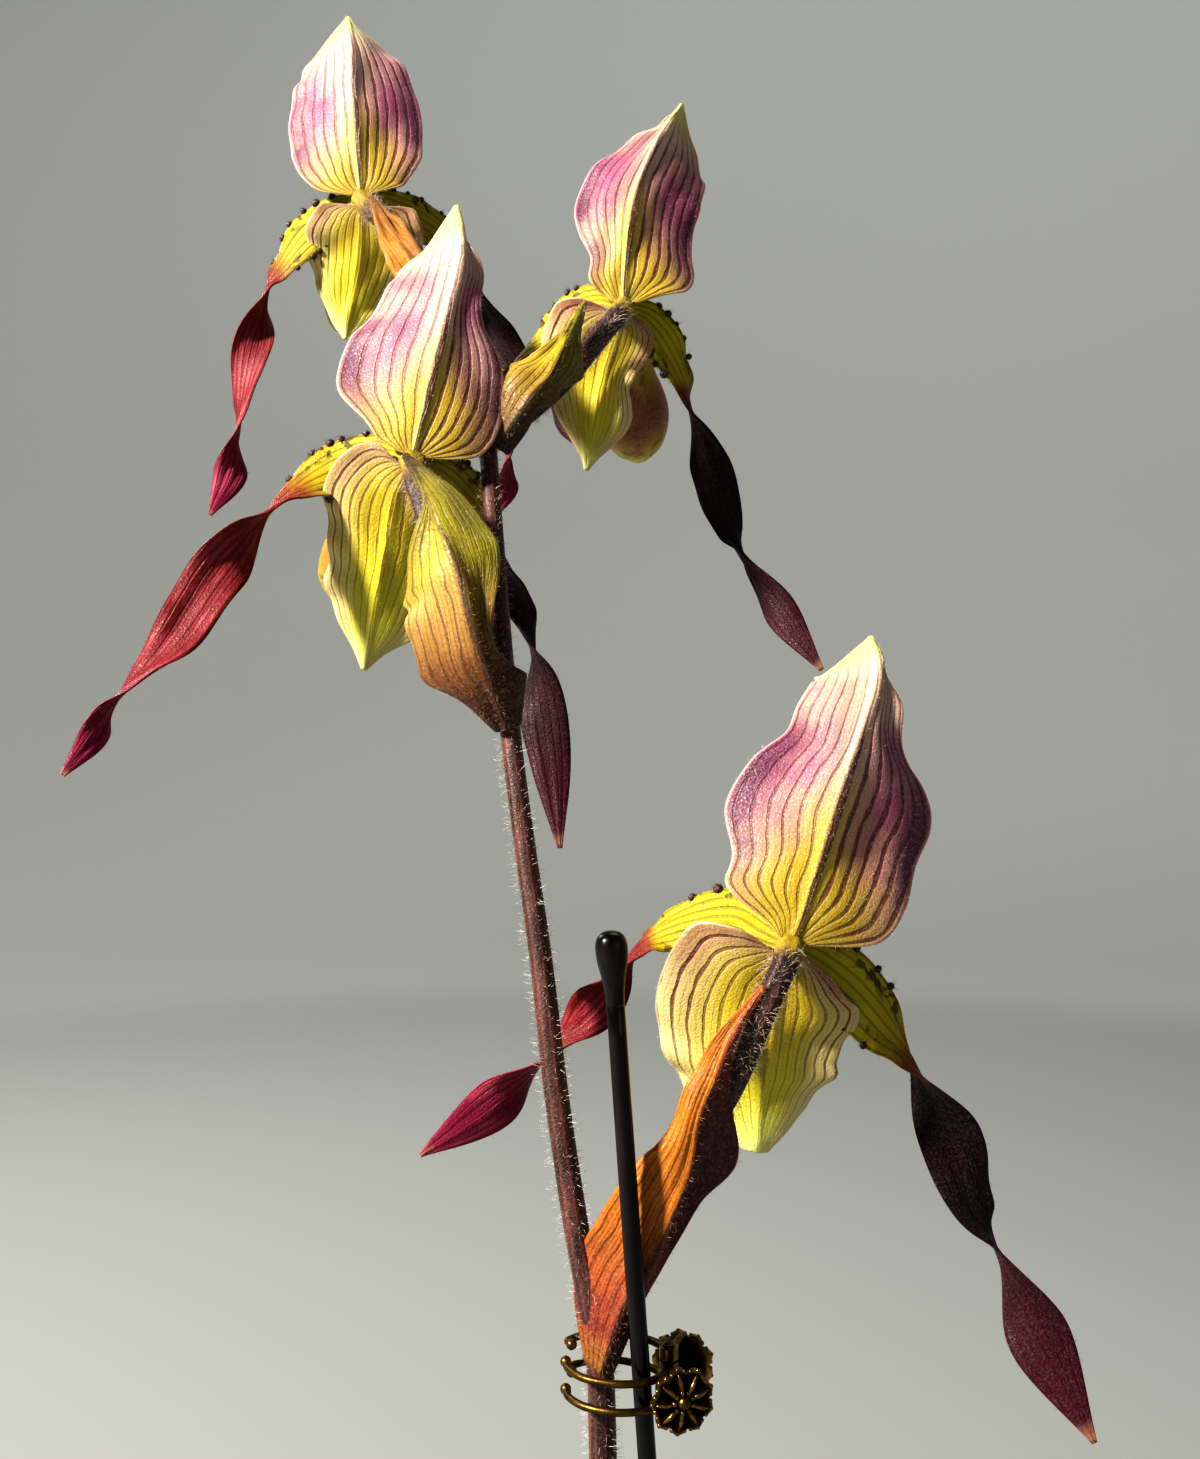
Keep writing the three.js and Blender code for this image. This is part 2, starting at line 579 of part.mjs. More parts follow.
// The short crown that the leaves and the scape grow from.
function crownGeometry() {
  const { x, y, bottom, top, radius, sides } = CROWN;
  const geometry = turned(
    [[0, bottom], [radius - 2, bottom], [radius, bottom + 3], [radius, 112], [radius - 2.5, 124], [radius - 5.5, top], [0, top]],
    sides,
  );
  geometry.translate(x, y, 0);
  return geometry;
}

// A strap leaf, folded along its midrib, that rises from the crown and arches over.
function leafGeometry({ heading, base, reach, rise, fall, width }) {
  const angle = heading * RAD;
  const point = (out, up) => [CROWN.x + out * Math.cos(angle), CROWN.y + out * Math.sin(angle), base + up];
  const start = (base < 118 ? CROWN.radius : CROWN.radius - 1) + GAP + 1.6;
  return blade({
    mid: [
      point(start, 0),
      point(start + reach * 0.12, rise * 0.42),
      point(start + reach * 0.32, rise * 0.86),
      point(start + reach * 0.55, rise),
      point(start + reach * 0.79, rise - fall * 0.32),
      point(start + reach, rise - fall),
    ],
    width: [5.5, width * 0.7, width * 0.95, width, width * 0.78, 1.2],
    fold: [-0.9, -0.5, -0.32, -0.25, -0.2, -0.1],
    toward: [0, 0, -1],
    thick: LEAF.thick,
    rows: LEAF.rows,
    columns: 4,
  });
}

// One half of the claw clip.
function clipHalf({ heights, bow, pad, lean }) {
  const { level, prong, barrel } = CLIP;
  const parts = [];
  for (const height of heights) {
    const at = level + height;
    parts.push(bar([0, 0, at - 1], [0, 0, at + 1], barrel, 12));
    parts.push(tube(bow.map(([x, y]) => [x, y, at]), [prong, prong], 9, 6, 0.2));
    const [x, y] = bow.at(-1);
    parts.push(new THREE.SphereGeometry(prong * 1.5, 8, 5).translate(x, y, at));
    parts.push(bar([0, 0.8 * Math.sign(pad[1]), at], [pad[0], pad[1], at], 0.75, 6));
  }
  const outline = new THREE.Shape();
  const points = CLIP.petals * 4;
  for (let k = 0; k < points; k += 1) {
    const angle = (k / points) * 2 * Math.PI;
    const reach = CLIP.pad * (0.84 + 0.16 * Math.abs(Math.sin((CLIP.petals * angle) / 2)));
    const corner = [reach * Math.cos(angle), reach * Math.sin(angle)];
    if (k === 0) outline.moveTo(...corner);
    else outline.lineTo(...corner);
  }
  const flower = new THREE.ExtrudeGeometry(outline, { depth: CLIP.padThick, bevelEnabled: false });
  flower.translate(0, 0, -CLIP.padThick / 2);
  flower.rotateX(Math.PI / 2);
  flower.rotateZ(lean);
  flower.translate(pad[0], pad[1], level);
  parts.push(flower, new THREE.SphereGeometry(1.5, 8, 6).translate(pad[0], pad[1] + 0.5 * Math.sign(pad[1]), level));
  const whole = parts.map(solid).reduce((body, part) => body.add(part));
  const bore = solid(bar([0, 0, level - 8], [0, 0, level + 8], CLIP.pinRadius + GAP, 12));
  return fromSolid(whole.subtract(bore)).translate(CLIP.pin[0], CLIP.pin[1], 0);
}

const COLOURS = {
  pot: [0x2b2c2e, 0.55],
  bark: [0x5f4029, 0.9],
  crown: [0x6f7d3b, 0.7],
  leaf: [0x4f7a3a, 0.5],
  scape: [0x4a2a2c, 0.75],
  ovary: [0x6b4038, 0.75],
  bract: [0xb06a2a, 0.6],
  dorsal: [0xd9b9b4, 0.6],
  synsepal: [0xc4bf3f, 0.6],
  petal: [0x7d1c37, 0.5],
  pouch: [0x9a7a30, 0.45],
  column: [0xc9c24a, 0.5],
  stake: [0x17100f, 0.25],
  bronze: [0x3f3222, 0.35, 0.9],
};

const orchid = new THREE.Group();

function place(name, geometry, [colour, roughness, metalness = 0]) {
  const mesh = new THREE.Mesh(geometry, new THREE.MeshStandardMaterial({ color: colour, roughness, metalness }));
  mesh.name = name;
  orchid.add(mesh);
}

place("pot", potGeometry(), COLOURS.pot);
place("bark", barkGeometry(), COLOURS.bark);
place("crown", crownGeometry(), COLOURS.crown);
LEAVES.forEach((leaf, i) => place(`leaf_${i + 1}`, leafGeometry(leaf), COLOURS.leaf));
place("scape", tube(SCAPE.path, SCAPE.radius, SCAPE.steps, SCAPE.sides), COLOURS.scape);

for (const [letter, bloom] of Object.entries(BLOOMS)) {
  const { head } = bloom;
  const stalk = tube([...bloom.ovary, head], [1.7, 2, 2.3, 2.2, 1.9], 10, 8, 0.4);
  const knob = new THREE.SphereGeometry(HEAD, 10, 6).translate(...head);
  place(`ovary_${letter}`, fromSolid(solid(stalk).add(solid(knob))), COLOURS.ovary);
  place(`bract_${letter}`, blade({ ...bloom.bract, fold: [0, 0], rows: 11, columns: 6 }), COLOURS.bract);
  const sepal = { rows: 12, columns: 4 };
  place(`dorsal_sepal_${letter}`, blade({ ...bloom.dorsal, ...sepal, mid: seated(head, bloom.dorsal.mid) }), COLOURS.dorsal);
  place(`synsepal_${letter}`, blade({ ...bloom.synsepal, ...sepal, mid: seated(head, bloom.synsepal.mid) }), COLOURS.synsepal);
  const petal = { rows: 22, columns: 2 };
  place(`petal_left_${letter}`, blade({ ...bloom.petalLeft, ...petal, mid: seated(head, bloom.petalLeft.mid) }), COLOURS.petal);
  place(`petal_right_${letter}`, blade({ ...bloom.petalRight, ...petal, mid: seated(head, bloom.petalRight.mid) }), COLOURS.petal);
  place(`pouch_${letter}`, pouch(head, bloom.pouch), COLOURS.pouch);
  place(`column_${letter}`, column(head), COLOURS.column);
}

place("stake", bar(STAKE.foot, STAKE.top, STAKE.radius, STAKE.sides), COLOURS.stake);
const lean = vec(STAKE.top).sub(vec(STAKE.foot)).normalize();
const ball = turned(BALL, STAKE.sides);
ball.applyQuaternion(new THREE.Quaternion().setFromUnitVectors(new THREE.Vector3(0, 0, 1), lean));
place("stake_ball", ball.translate(...STAKE.top), COLOURS.stake);

const { pin, level, pinReach, spring } = CLIP;
place("clip_far_half", clipHalf(CLIP.far), COLOURS.bronze);
place("clip_near_half", clipHalf(CLIP.near), COLOURS.bronze);
place("clip_pin", bar([...pin, level - pinReach], [...pin, level + pinReach], CLIP.pinRadius, 12), COLOURS.bronze);
const coil = new THREE.TorusGeometry(spring.ring, spring.wire, 6, 16);
place("clip_spring", coil.translate(...pin, level + spring.height), COLOURS.bronze);

export default orchid;
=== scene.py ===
import math

import bpy
import numpy as np
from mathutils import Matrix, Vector


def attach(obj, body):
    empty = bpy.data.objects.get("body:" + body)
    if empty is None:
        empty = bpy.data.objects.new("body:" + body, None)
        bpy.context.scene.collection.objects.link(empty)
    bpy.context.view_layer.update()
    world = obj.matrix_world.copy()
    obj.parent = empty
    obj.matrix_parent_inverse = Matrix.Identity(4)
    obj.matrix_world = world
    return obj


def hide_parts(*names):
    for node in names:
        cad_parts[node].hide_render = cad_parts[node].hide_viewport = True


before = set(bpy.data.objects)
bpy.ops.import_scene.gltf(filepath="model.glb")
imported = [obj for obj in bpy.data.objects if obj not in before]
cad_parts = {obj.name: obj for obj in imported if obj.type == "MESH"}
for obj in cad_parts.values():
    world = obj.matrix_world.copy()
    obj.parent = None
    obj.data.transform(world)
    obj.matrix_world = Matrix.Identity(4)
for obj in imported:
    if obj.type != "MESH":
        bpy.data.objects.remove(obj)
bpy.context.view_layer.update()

# The looks of a slipper orchid in its pot, around its fixed frame: the scape with four blooms that
# face +Y, their bracts, the leaves, the pot of bark, the ball-topped stake and the claw clip.
# Lengths in the tables are in millimetres, and become metres when a mesh is made.

MM = 0.001
TURN = 2 * math.pi
rng = np.random.default_rng(1907)

CAMERA = {"place": (0, -240, 400), "focal": 1400, "image": (1200, 1459), "sensor": 36}

SCAPE = {
    "path": [
        [-1.5, 7, 130], [0.5, 7, 180], [1.2, 6.7, 230], [0.5, 6.5, 271.6], [-0.4, 6.5, 291.6],
        [-4.3, 8.5, 312], [-8, 13, 334.9], [-10.9, 18, 357.5], [-14, 22.5, 377.4], [-17, 28, 398],
        [-19.4, 36, 419], [-21.8, 46, 442.6], [-23.8, 55, 460], [-26.6, 60, 473.8], [-30, 64, 483.5],
    ],
    "radius": [2.7, 2.6, 2.5, 2.45, 2.35, 2.25, 2.2, 2.1, 2, 1.95, 1.9, 1.85, 1.8, 1.7, 1.6],
    "swell": 0.45,
    "swell_reach": 5,
}

# A bloom's pieces, by the points that their midribs run through. width is the half width; a name that
# ends in _left or _right is for that side alone. turn is a blade's angle about its midrib in degrees,
# fold how steeply its sides slope from the midrib, round the radius that its section bends to, and
# lobe how far its edges reach back.
BLOOMS = {
    "a": {
        "head": [-58, 101, 529],
        "ovary": [[-30.7, 64.8, 484.6], [-35.4, 70, 492.9], [-43, 80, 506.2], [-51, 91, 519.6]],
        "dorsal": {
            "mid": [
                [-58.5, 101, 536.3], [-59.1, 102, 546.4], [-60.1, 104, 555.9], [-61.1, 107, 566.4],
                [-62.2, 109.5, 573.4], [-63.7, 113, 579.4],
            ],
            "width_left": [3, 9, 12.9, 16.3, 18, 18.8, 18.1, 16.9, 15.5, 14, 9.7, 0.5],
            "width_right": [3, 8.8, 11.5, 14.4, 14.9, 15.1, 14.3, 12.3, 9.5, 6, 1.9, 0.4],
            "lobe": [0, 3, 2, 0, 0, 0],
        },
        "synsepal": {
            "mid": [
                [-58.5, 102.5, 521.5], [-59.5, 105.5, 515.1], [-61.3, 108, 508.3], [-63, 110, 502.4],
                [-63.8, 110, 497.6],
            ],
            "width_left": [3, 11.6, 13.9, 15.1, 14, 12.5, 10.8, 9.3, 7.4, 5.5, 3.1, 0.8],
            "width_right": [3, 9, 11.5, 13.6, 14, 13.6, 12.2, 10.4, 7.7, 4.8, 2.4, 0.4],
            "lobe": [0, 3, 4, 3, 2, 1, 0, 0, 0, 0, 0, 0],
        },
        "petal_left": {
            "mid": [
                [-66.5, 105.5, 526.8], [-73.8, 108, 522.6], [-80, 110, 515.4], [-83.8, 110, 508.6],
                [-86.5, 108, 494.3], [-88.2, 105, 478.7], [-88.9, 103, 470.9], [-90.1, 101, 462],
                [-94.2, 98, 451.8],
            ],
            "width": [2.6, 5, 5.8, 4.4, 3.2, 4.8, 3.6, 3, 4, 0.5],
            "turn": [10, 10, 15, 40, 80, 175, 235, 270, 340, 360],
        },
        "petal_right": {
            "mid": [
                [-51.8, 105.5, 529.3], [-43.6, 109, 526.5], [-35.8, 113, 520.9], [-31, 116, 513],
                [-26.1, 118, 500.9], [-19.2, 118, 489.9], [-13.3, 117, 484], [-8.4, 115, 476.8],
                [-2.4, 113, 470],
            ],
            "width": [2.6, 4.6, 5.2, 4.2, 3.2, 4.8, 4, 3.2, 2.6, 0.5],
            "turn": [-10, -10, -15, -40, -80, -150, -200, -270, -340, -360],
        },
        "pouch": {"mouth": [-58, 111.5, 525], "bottom": [-66, 125, 502], "radius": 7.8},
        "bract": {
            "mid": [
                [-30.8, 60.2, 482], [-35.5, 62, 492], [-42, 69.5, 504], [-48, 79, 513.5],
                [-54, 89.5, 525],
            ],
            "width_left": [3, 7, 5.5, 3.6, 0.5],
            "width_right": [3, 6.5, 5, 3.6, 0.5],
            "round": [2.7, 5, 6, 6, 6],
            "fold": [0, 0],
        },
    },
    "b": {
        "head": [-38.1, 44, 454.3],
        "ovary": [
            [-19.4, 26.5, 406.5], [-22, 27, 413], [-26.5, 27.5, 422.6], [-31.5, 30.5, 436.4],
            [-36, 37.5, 447.4],
        ],
        "dorsal": {
            "mid": [
                [-36.4, 44, 460.8], [-34.4, 45, 469.5], [-32.5, 46.5, 478.3], [-30.7, 48.5, 486.9],
                [-28.9, 51, 495.9], [-28.9, 53, 503.3], [-30.4, 56, 510.7],
            ],
            "width_left": [3, 7.4, 11.1, 19.2, 21.2, 20.8, 18.4, 15.8, 15, 13.2, 7.5, 0.5],
            "width_right": [2.4, 7.9, 13.4, 15, 14.1, 11.7, 7.2, 5.1, 4.8, 1.5, 0.6, 0.3],
            "lobe": [0, 3, 2, 0, 0, 0, 0],
        },
        "synsepal": {
            "mid": [
                [-41.8, 45.5, 447.2], [-44, 48.5, 438.5], [-46.1, 51.5, 429.4], [-48.2, 54, 421.1],
                [-49.8, 55, 412.6],
            ],
            "width_left": [3, 12, 17, 18.5, 18, 17.1, 15.2, 13, 11.1, 8.7, 3.9, 0.5],
            "width_right": [3, 8.5, 12.3, 14.9, 15, 13.2, 12.3, 12, 9.9, 6.8, 3.2, 0.5],
            "lobe_left": [0, 3, 3, 2, 1, 0, 0, 0, 0, 0, 0, 0],
            "lobe_right": [0, 4, 5, 4, 3, 2, 1, 0, 0, 0, 0, 0],
        },
        "petal_left": {
            "mid": [
                [-46.1, 49.5, 456.5], [-54.5, 51.5, 454.2], [-61.7, 49.5, 450.2], [-68.3, 44.5, 443.6],
                [-75.5, 38, 431.7], [-83.5, 32, 416.4], [-91.8, 26, 405.6], [-94.5, 22, 399],
                [-99.1, 18, 391.6],
            ],
            "width": [2.6, 5, 6.6, 5.2, 3.4, 5.6, 5, 2.6, 2.8, 0.5],
            "turn": [10, 10, 15, 40, 85, 170, 200, 260, 330, 360],
        },
        "petal_right": {
            "mid": [
                [-32.7, 47.8, 453.2], [-29.1, 55, 450.5], [-25.3, 60, 446], [-21.6, 62, 439.2],
                [-18, 63, 429.1], [-15.2, 63, 419.4], [-12.8, 61, 406.3], [-10.4, 58, 391.9],
                [-8.4, 53, 375.2],
            ],
            "width": [2.6, 4.4, 5.2, 4.6, 3.4, 3.2, 3, 5.2, 4.2, 0.5],
            "turn": [-10, -10, -15, -40, -85, -150, -250, -340, -360, -360],
        },
        "pouch": {"mouth": [-39, 55.5, 450], "bottom": [-58.5, 73, 429], "radius": 10},
        "bract": {
            "mid": [
                [-17.3, 25.1, 400], [-20.1, 20, 408.6], [-23.1, 18.5, 417.8], [-25.7, 19, 427.7],
                [-28.8, 21.5, 435.4], [-33.1, 28, 444.9], [-38.6, 37, 454.3],
            ],
            "width_left": [3.4, 8.1, 15, 16.1, 15.1, 14.2, 14.2, 10, 1.6, 0.8, 0.4],
            "width_right": [3.4, 7.9, 4.6, 3.1, 4.3, 7.1, 8.6, 8.9, 7, 3.7, 0.5],
            "round_left": [2.9, 12, 18, 18, 14, 10, 8],
            "round_right": [2.9, 8, 12, 18, 18, 14, 10],
            "fold": [0, 0.2, 0.3, 0.35, 0.35, 0.3, 0.2],
        },
    },
    "c": {
        "head": [5.4, 76, 495.1],
        "ovary": [
            [-20.6, 54.5, 462.5], [-16.7, 54, 465.3], [-8.5, 57, 473.6], [-1.7, 64, 483.5],
            [3, 71.5, 491],
        ],
        "dorsal": {
            "mid": [
                [5.8, 76, 503.3], [7, 77, 513.3], [9.4, 79.5, 525.2], [12.9, 83, 534.6],
                [16, 85.5, 540.8], [19.3, 89, 546.8],
            ],
            "width_left": [2.7, 5.5, 8, 8.3, 12.1, 14.1, 12.2, 8.8, 5.2, 1.9, 0.6, 0.3],
            "width_right": [3, 9, 14.4, 15.9, 14.5, 14.3, 14.4, 13.7, 12.3, 9.2, 4.3, 0.4],
            "lobe": [0, 3, 2, 0, 0, 0],
        },
        "synsepal": {
            "mid": [
                [3.2, 79, 487.6], [1.1, 81.5, 481.5], [-0.5, 83.5, 475.1], [-1.9, 85, 467.7],
                [-3.2, 85, 460.2],
            ],
            "width_left": [3, 7.5, 8.6, 7.5, 6.5, 6.3, 7.5, 8.4, 7.7, 5.3, 2.5, 0.4],
            "width_right": [3, 10, 14.9, 16.6, 16.7, 15, 13.5, 11, 8.2, 5.1, 2.2, 0.4],
            "lobe_left": [0, 1, 1, 0, 0, 0, 0, 0, 0, 0, 0, 0],
            "lobe_right": [0, 4, 5, 4, 3, 2, 1, 0, 0, 0, 0, 0],
        },
        "petal_left": {
            "mid": [
                [-0.5, 80.5, 498.2], [-6.5, 84, 497], [-13.4, 89, 493], [-19.9, 95, 488.2],
                [-23.5, 102, 481.7], [-23.6, 108, 474.4], [-23.1, 112, 467.8], [-23.8, 115, 461.2],
                [-25.8, 117, 455.5],
            ],
            "width": [2.6, 4.2, 4.8, 4.2, 3.4, 4.6, 4.2, 3, 3.4, 0.5],
            "turn": [10, 10, 15, 40, 85, 150, 200, 270, 330, 360],
        },
        "petal_right": {
            "mid": [
                [11, 80.5, 493.5], [15.2, 82.5, 489], [18.5, 84, 482.7], [21.3, 84, 473.2],
                [25.8, 83, 459.9], [29, 81, 446.2], [32.8, 79, 438.6], [40.4, 74, 426.4],
                [48.8, 68, 413.1],
            ],
            "width": [2.6, 4.6, 5, 4.4, 3, 4.8, 4.2, 2.4, 4, 0.5],
            "turn": [-10, -10, -15, -40, -85, -170, -210, -270, -340, -360],
        },
        "pouch": {"mouth": [6, 87.5, 490], "bottom": [9.6, 106, 466.5], "radius": 8.4},
        "bract": {
            "mid": [
                [-21.4, 51.4, 458.6], [-15, 48.6, 467.5], [-10.4, 50, 473.2], [-7.7, 53, 480.1],
                [-5.5, 58, 486.7], [-3.3, 63.5, 492.5],
            ],
            "width_left": [3, 7, 9.6, 9, 8.4, 6, 3, 1.8, 1.2, 0.8, 0.4],
            "width_right": [3, 3.4, 2.9, 4.2, 5, 6.3, 6.5, 3, 1.9, 1.1, 0.3],
            "turn": [0, 15, 15, 10, 5, 0],
            "round": [2.8, 7, 9, 9, 9, 8],
            "fold": [0, 0.2, 0.25, 0.25, 0.2, 0.2],
        },
    },
    "d": {
        "head": [33.9, 10, 361.2],
        "ovary": [
            [3.1, 8.7, 296.8], [6.4, 10.3, 304.5], [12.6, 10.8, 319.3], [22.2, 7, 335.7],
            [28.5, 5, 350.6], [32.5, 7.4, 358.2],
        ],
        "dorsal": {
            "mid": [
                [37, 10, 368.8], [40.1, 11, 377.5], [43.8, 12.5, 388.2], [47.4, 15, 397.7],
                [51.1, 19, 406.9], [52.2, 22, 412.6], [51.5, 26, 417.6],
            ],
            "width_left": [2.9, 6.7, 14.5, 15.3, 18.9, 16.7, 12.5, 12.3, 11.5, 11.1, 10.5, 0.6],
            "width_right": [2.8, 7.6, 15.4, 17.6, 18.1, 19.2, 15.7, 8, 4.9, 1.2, 0.6, 0.3],
            "lobe": [0, 4, 3, 0, 0, 0, 0],
        },
        "synsepal": {
            "mid": [
                [32.2, 12.5, 352.9], [31, 14, 345.3], [30, 15, 337.7], [29.4, 16, 330.2],
                [28.8, 16, 322.6],
            ],
            "width_left": [3, 8.7, 12.3, 15.9, 15.8, 14.3, 13.5, 13.7, 10.2, 7.9, 5, 2],
            "width_right": [3, 10, 17.2, 19.6, 20.8, 21, 20.2, 18.5, 15.8, 12.1, 7.1, 2.4],
            "lobe_left": [0, 0],
            "lobe_right": [0, 6, 8, 7, 5, 4, 3, 2, 1, 0, 0, 0],
        },
        "petal_left": {
            "mid": [
                [29, 13.2, 363.6], [24.6, 17, 365.6], [17.6, 20, 364.4], [10.7, 22, 361.6],
                [6.2, 23, 358], [0, 25, 348.8], [-9.1, 26, 338.7], [-19.8, 24, 329.2], [-33.4, 20, 321],
            ],
            "width": [2.8, 4.8, 5.6, 4.8, 4, 3.6, 4.9, 2.6, 5, 0.5],
            "turn": [10, 10, 15, 30, 60, 90, 165, 265, 345, 360],
        },
        "petal_right": {
            "mid": [
                [39, 13.5, 358.7], [46, 17, 353], [53, 20, 345], [58.5, 21, 337.5], [65, 21, 324.6],
                [69, 20, 311.6], [73.6, 19, 303.2], [80.1, 15, 288.8], [88, 9, 273.1],
            ],
            "width": [2.8, 5, 6.4, 5.8, 3.4, 5.8, 4.8, 2.6, 5.8, 0.5],
            "turn": [-10, -10, -15, -30, -85, -170, -210, -270, -345, -360],
        },
        "pouch": {"mouth": [34.5, 22.5, 356], "bottom": [38, 45, 328], "radius": 9.4},
        "bract": {
            "mid": [
                [0.2, 3.1, 288.5], [3.8, 2.6, 299.4], [8.7, 2.4, 307.8], [13.1, 2, 317.5],
                [15.7, 1.2, 325], [16.9, 1, 332.8], [19.9, 1.8, 339.8], [23.2, 2.5, 347.4],
                [28.6, 3.8, 355.3],
            ],
            "width_left": [3.8, 9.6, 11.4, 11.1, 9.6, 7.6, 4.4, 4, 3.2, 1.8, 0.4],
            "width_right": [2.7, 3.7, 3.1, 2.5, 4, 8.2, 7.4, 5, 1.6, 0.5, 0.3],
            "round_left": [3.3, 12, 30, 40, 30, 20, 14, 14, 14],
            "round_right": [3.3, 8, 20, 20, 20, 16, 12, 12, 12],
            "fold_left": [0, 0.1, 0.1, 0.1, 0.1, 0.15, 0.2, 0.2, 0.2],
            "fold_right": [0, 0.3, 0.4, 0.45, 0.45, 0.45, 0.4, 0.3, 0.3],
        },
    },
}

# A bract's colours from its foot to its tip, on each side of its keel, with its veins' colour and how
# deeply it is crumpled. The two sides' colours are partly the bract's own and partly painted light: the
# left side is painted paler as if lit, the right side darker as painted shade.
BRACTS = {
    "a": {
        "left": [(0, "4A2A0C"), (0.3, "9A6A10"), (0.7, "B07412"), (1, "704410")],
        "right": [(0, "3A200A"), (0.3, "8A5E10"), (0.7, "A86C12"), (1, "62400E")],
        "vein": "5A300A",
        "crumple": 0.7,
    },
    "b": {
        "left": [
            (0, "240E06"), (0.12, "542408"), (0.24, "80501A"), (0.45, "B48E4A"), (0.6, "BCA23E"),
            (0.75, "8E8610"), (1, "3E3206"),
        ],
        "right": [
            (0, "1A0A04"), (0.15, "401C08"), (0.35, "7A5C0C"), (0.6, "A0950C"), (0.85, "908608"),
            (1, "443A06"),
        ],
        "vein": "40200A",
        "crumple": 0.5,
    },
    "c": {
        "left": [(0, "3A1E08"), (0.2, "86620E"), (0.5, "B09A20"), (1, "A49A24")],
        "right": [(0, "1C0E06"), (0.3, "5E480C"), (0.7, "868018"), (1, "8E8C20")],
        "vein": "3E2A0A",
        "crumple": 0.3,
    },
    "d": {
        "left": [
            (0, "8A5A1C"), (0.05, "9A5820"), (0.1, "7A2018"), (0.17, "A0500E"), (0.35, "BE7406"),
            (0.7, "C27606"), (1, "B06604"),
        ],
        "right": [
            (0, "3A1E0C"), (0.1, "48100A"), (0.22, "6A1C08"), (0.4, "3A0806"), (0.7, "4A0E06"),
            (0.85, "7A240A"), (1, "A8500C"),
        ],
        "vein": "4E1206",
        "crumple": 0.6,
    },
}

# How far along each petal its green foot reaches.
FOOT = {"usual": 0.3, "left_d": 0.44, "right_d": 0.38, "right_c": 0.35, "left_c": 0.4}

# A leaf starts that far from the crown's axis, at its base above the pot's foot. It reaches out toward
# its heading in degrees, rises above its base, and falls from there.
LEAVES = [
    {"heading": 24, "start": 11.45, "base": 104, "reach": 205, "rise": 44, "fall": 66, "width": 19},
    {"heading": 200, "start": 11.45, "base": 106, "reach": 210, "rise": 42, "fall": 62, "width": 19.5},
    {"heading": 58, "start": 11.45, "base": 112, "reach": 180, "rise": 62, "fall": 44, "width": 18.5},
    {"heading": 168, "start": 11.45, "base": 114, "reach": 185, "rise": 60, "fall": 40, "width": 19},
    {"heading": 98, "start": 10.45, "base": 120, "reach": 120, "rise": 62, "fall": 14, "width": 16},
    {"heading": 236, "start": 10.45, "base": 121, "reach": 130, "rise": 70, "fall": 14, "width": 16.5},
]

# A turned body's profile is a list of radius and height.
CROWN = {
    "x": -2,
    "y": 7,
    "profile": [
        [7.5, 80], [9.3, 83], [9.5, 96], [9.5, 108], [9.3, 114], [8.2, 120], [6.8, 126], [4.8, 130],
        [3.2, 131],
    ],
}
POT = {"height": 115, "base": 45, "top": 59, "rim": 63, "rim_height": 17, "wall": 2.4, "floor": 3}
DRAINS = {"count": 6, "ring": 31, "radius": 4.5}
BARK = {
    "wall_gap": 0.4,
    "levels": [3.6, 60, 92],
    "mound": [[52, 95.5], [44, 96.4], [30, 97], [12, 97.2]],
    "heave": 1.2,
    "strewn": [[50.5, 96.2], [48, 98], [24, 98.4], [13, 98.4]],
    "spacing": 6.2,
    "chip": 14,
    "rough": 9,
}
STAKE = {"foot": [26.3, 0, 14], "top": [2.62, 0, 353.3], "radius": 1.6}
BALL = [
    [1.61, -0.6], [1.63, 0.5], [1.69, 1.6], [1.8, 2.6], [2.05, 4], [2.4, 5.7], [2.68, 7.3], [2.8, 8.8],
    [2.74, 10.1], [2.35, 11.2], [1.55, 11.95], [0.5, 12.25],
]

# The clip's halves are given from its pin, and its heights from its level. bow is the run of a half's
# prongs, pad the middle of its flower, and lean the flower's turn about the pin in radians.
CLIP = {
    "pin": [12, 3.4],
    "level": 287,
    "pin_radius": 0.7,
    "pin_reach": 6.2,
    "barrel": 1.7,
    "prong": 0.65,
    "pad_reach": 5.6,
    "petals": 9,
    "spring": {"turns": 2.6, "wire": 0.34, "radius": 1.5, "below": 5.3, "height": 1.5},
    "near": {
        "heights": [2.4, -2.4],
        "bow": [
            [-0.3, -1.3], [-1.9, -4.4], [-4.6, -6.4], [-9.6, -6.9], [-14.6, -4.8], [-17.4, -1.4],
            [-18, 1.6],
        ],
        "pad": [1.8, -7.6],
        "lean": 0.3,
    },
    "far": {
        "heights": [4.8, 0],
        "bow": [[-0.3, 1.3], [-3.6, 5], [-9.6, 7.7], [-14.6, 6.9], [-17.6, 4.6], [-17, 3]],
        "pad": [2.8, 6.8],
        "lean": -0.3,
    },
}

# The radii of an ovary run from its foot to the head. A pouch's profile is its width from its mouth to
# its toe, as a share of its radius. A column's neck is given from the head, as depth and height.
OVARY = {"radius": [1.8, 2.1, 2.35, 2.3, 2.15, 2.6]}
POUCH = {
    "profile": [0.9, 0.8, 0.72, 0.78, 0.88, 0.96, 1.0, 0.99, 0.93, 0.82, 0.62, 0.2],
    "depth": 0.86,
    "wall": 0.7,
    "ribs": 9,
    "rib_height": 0.02,
    "toe_rise": 2.2,
    "ear_drop": 1.4,
    "claw": [1.5, 1.5, 1.9],
}
COLUMN = {"neck": [[1.5, 0.4], [4, 1.6], [6.2, 2.6]], "radius": [1.9, 1.6, 1.5], "shield": (3.7, 1.2, 4.2)}

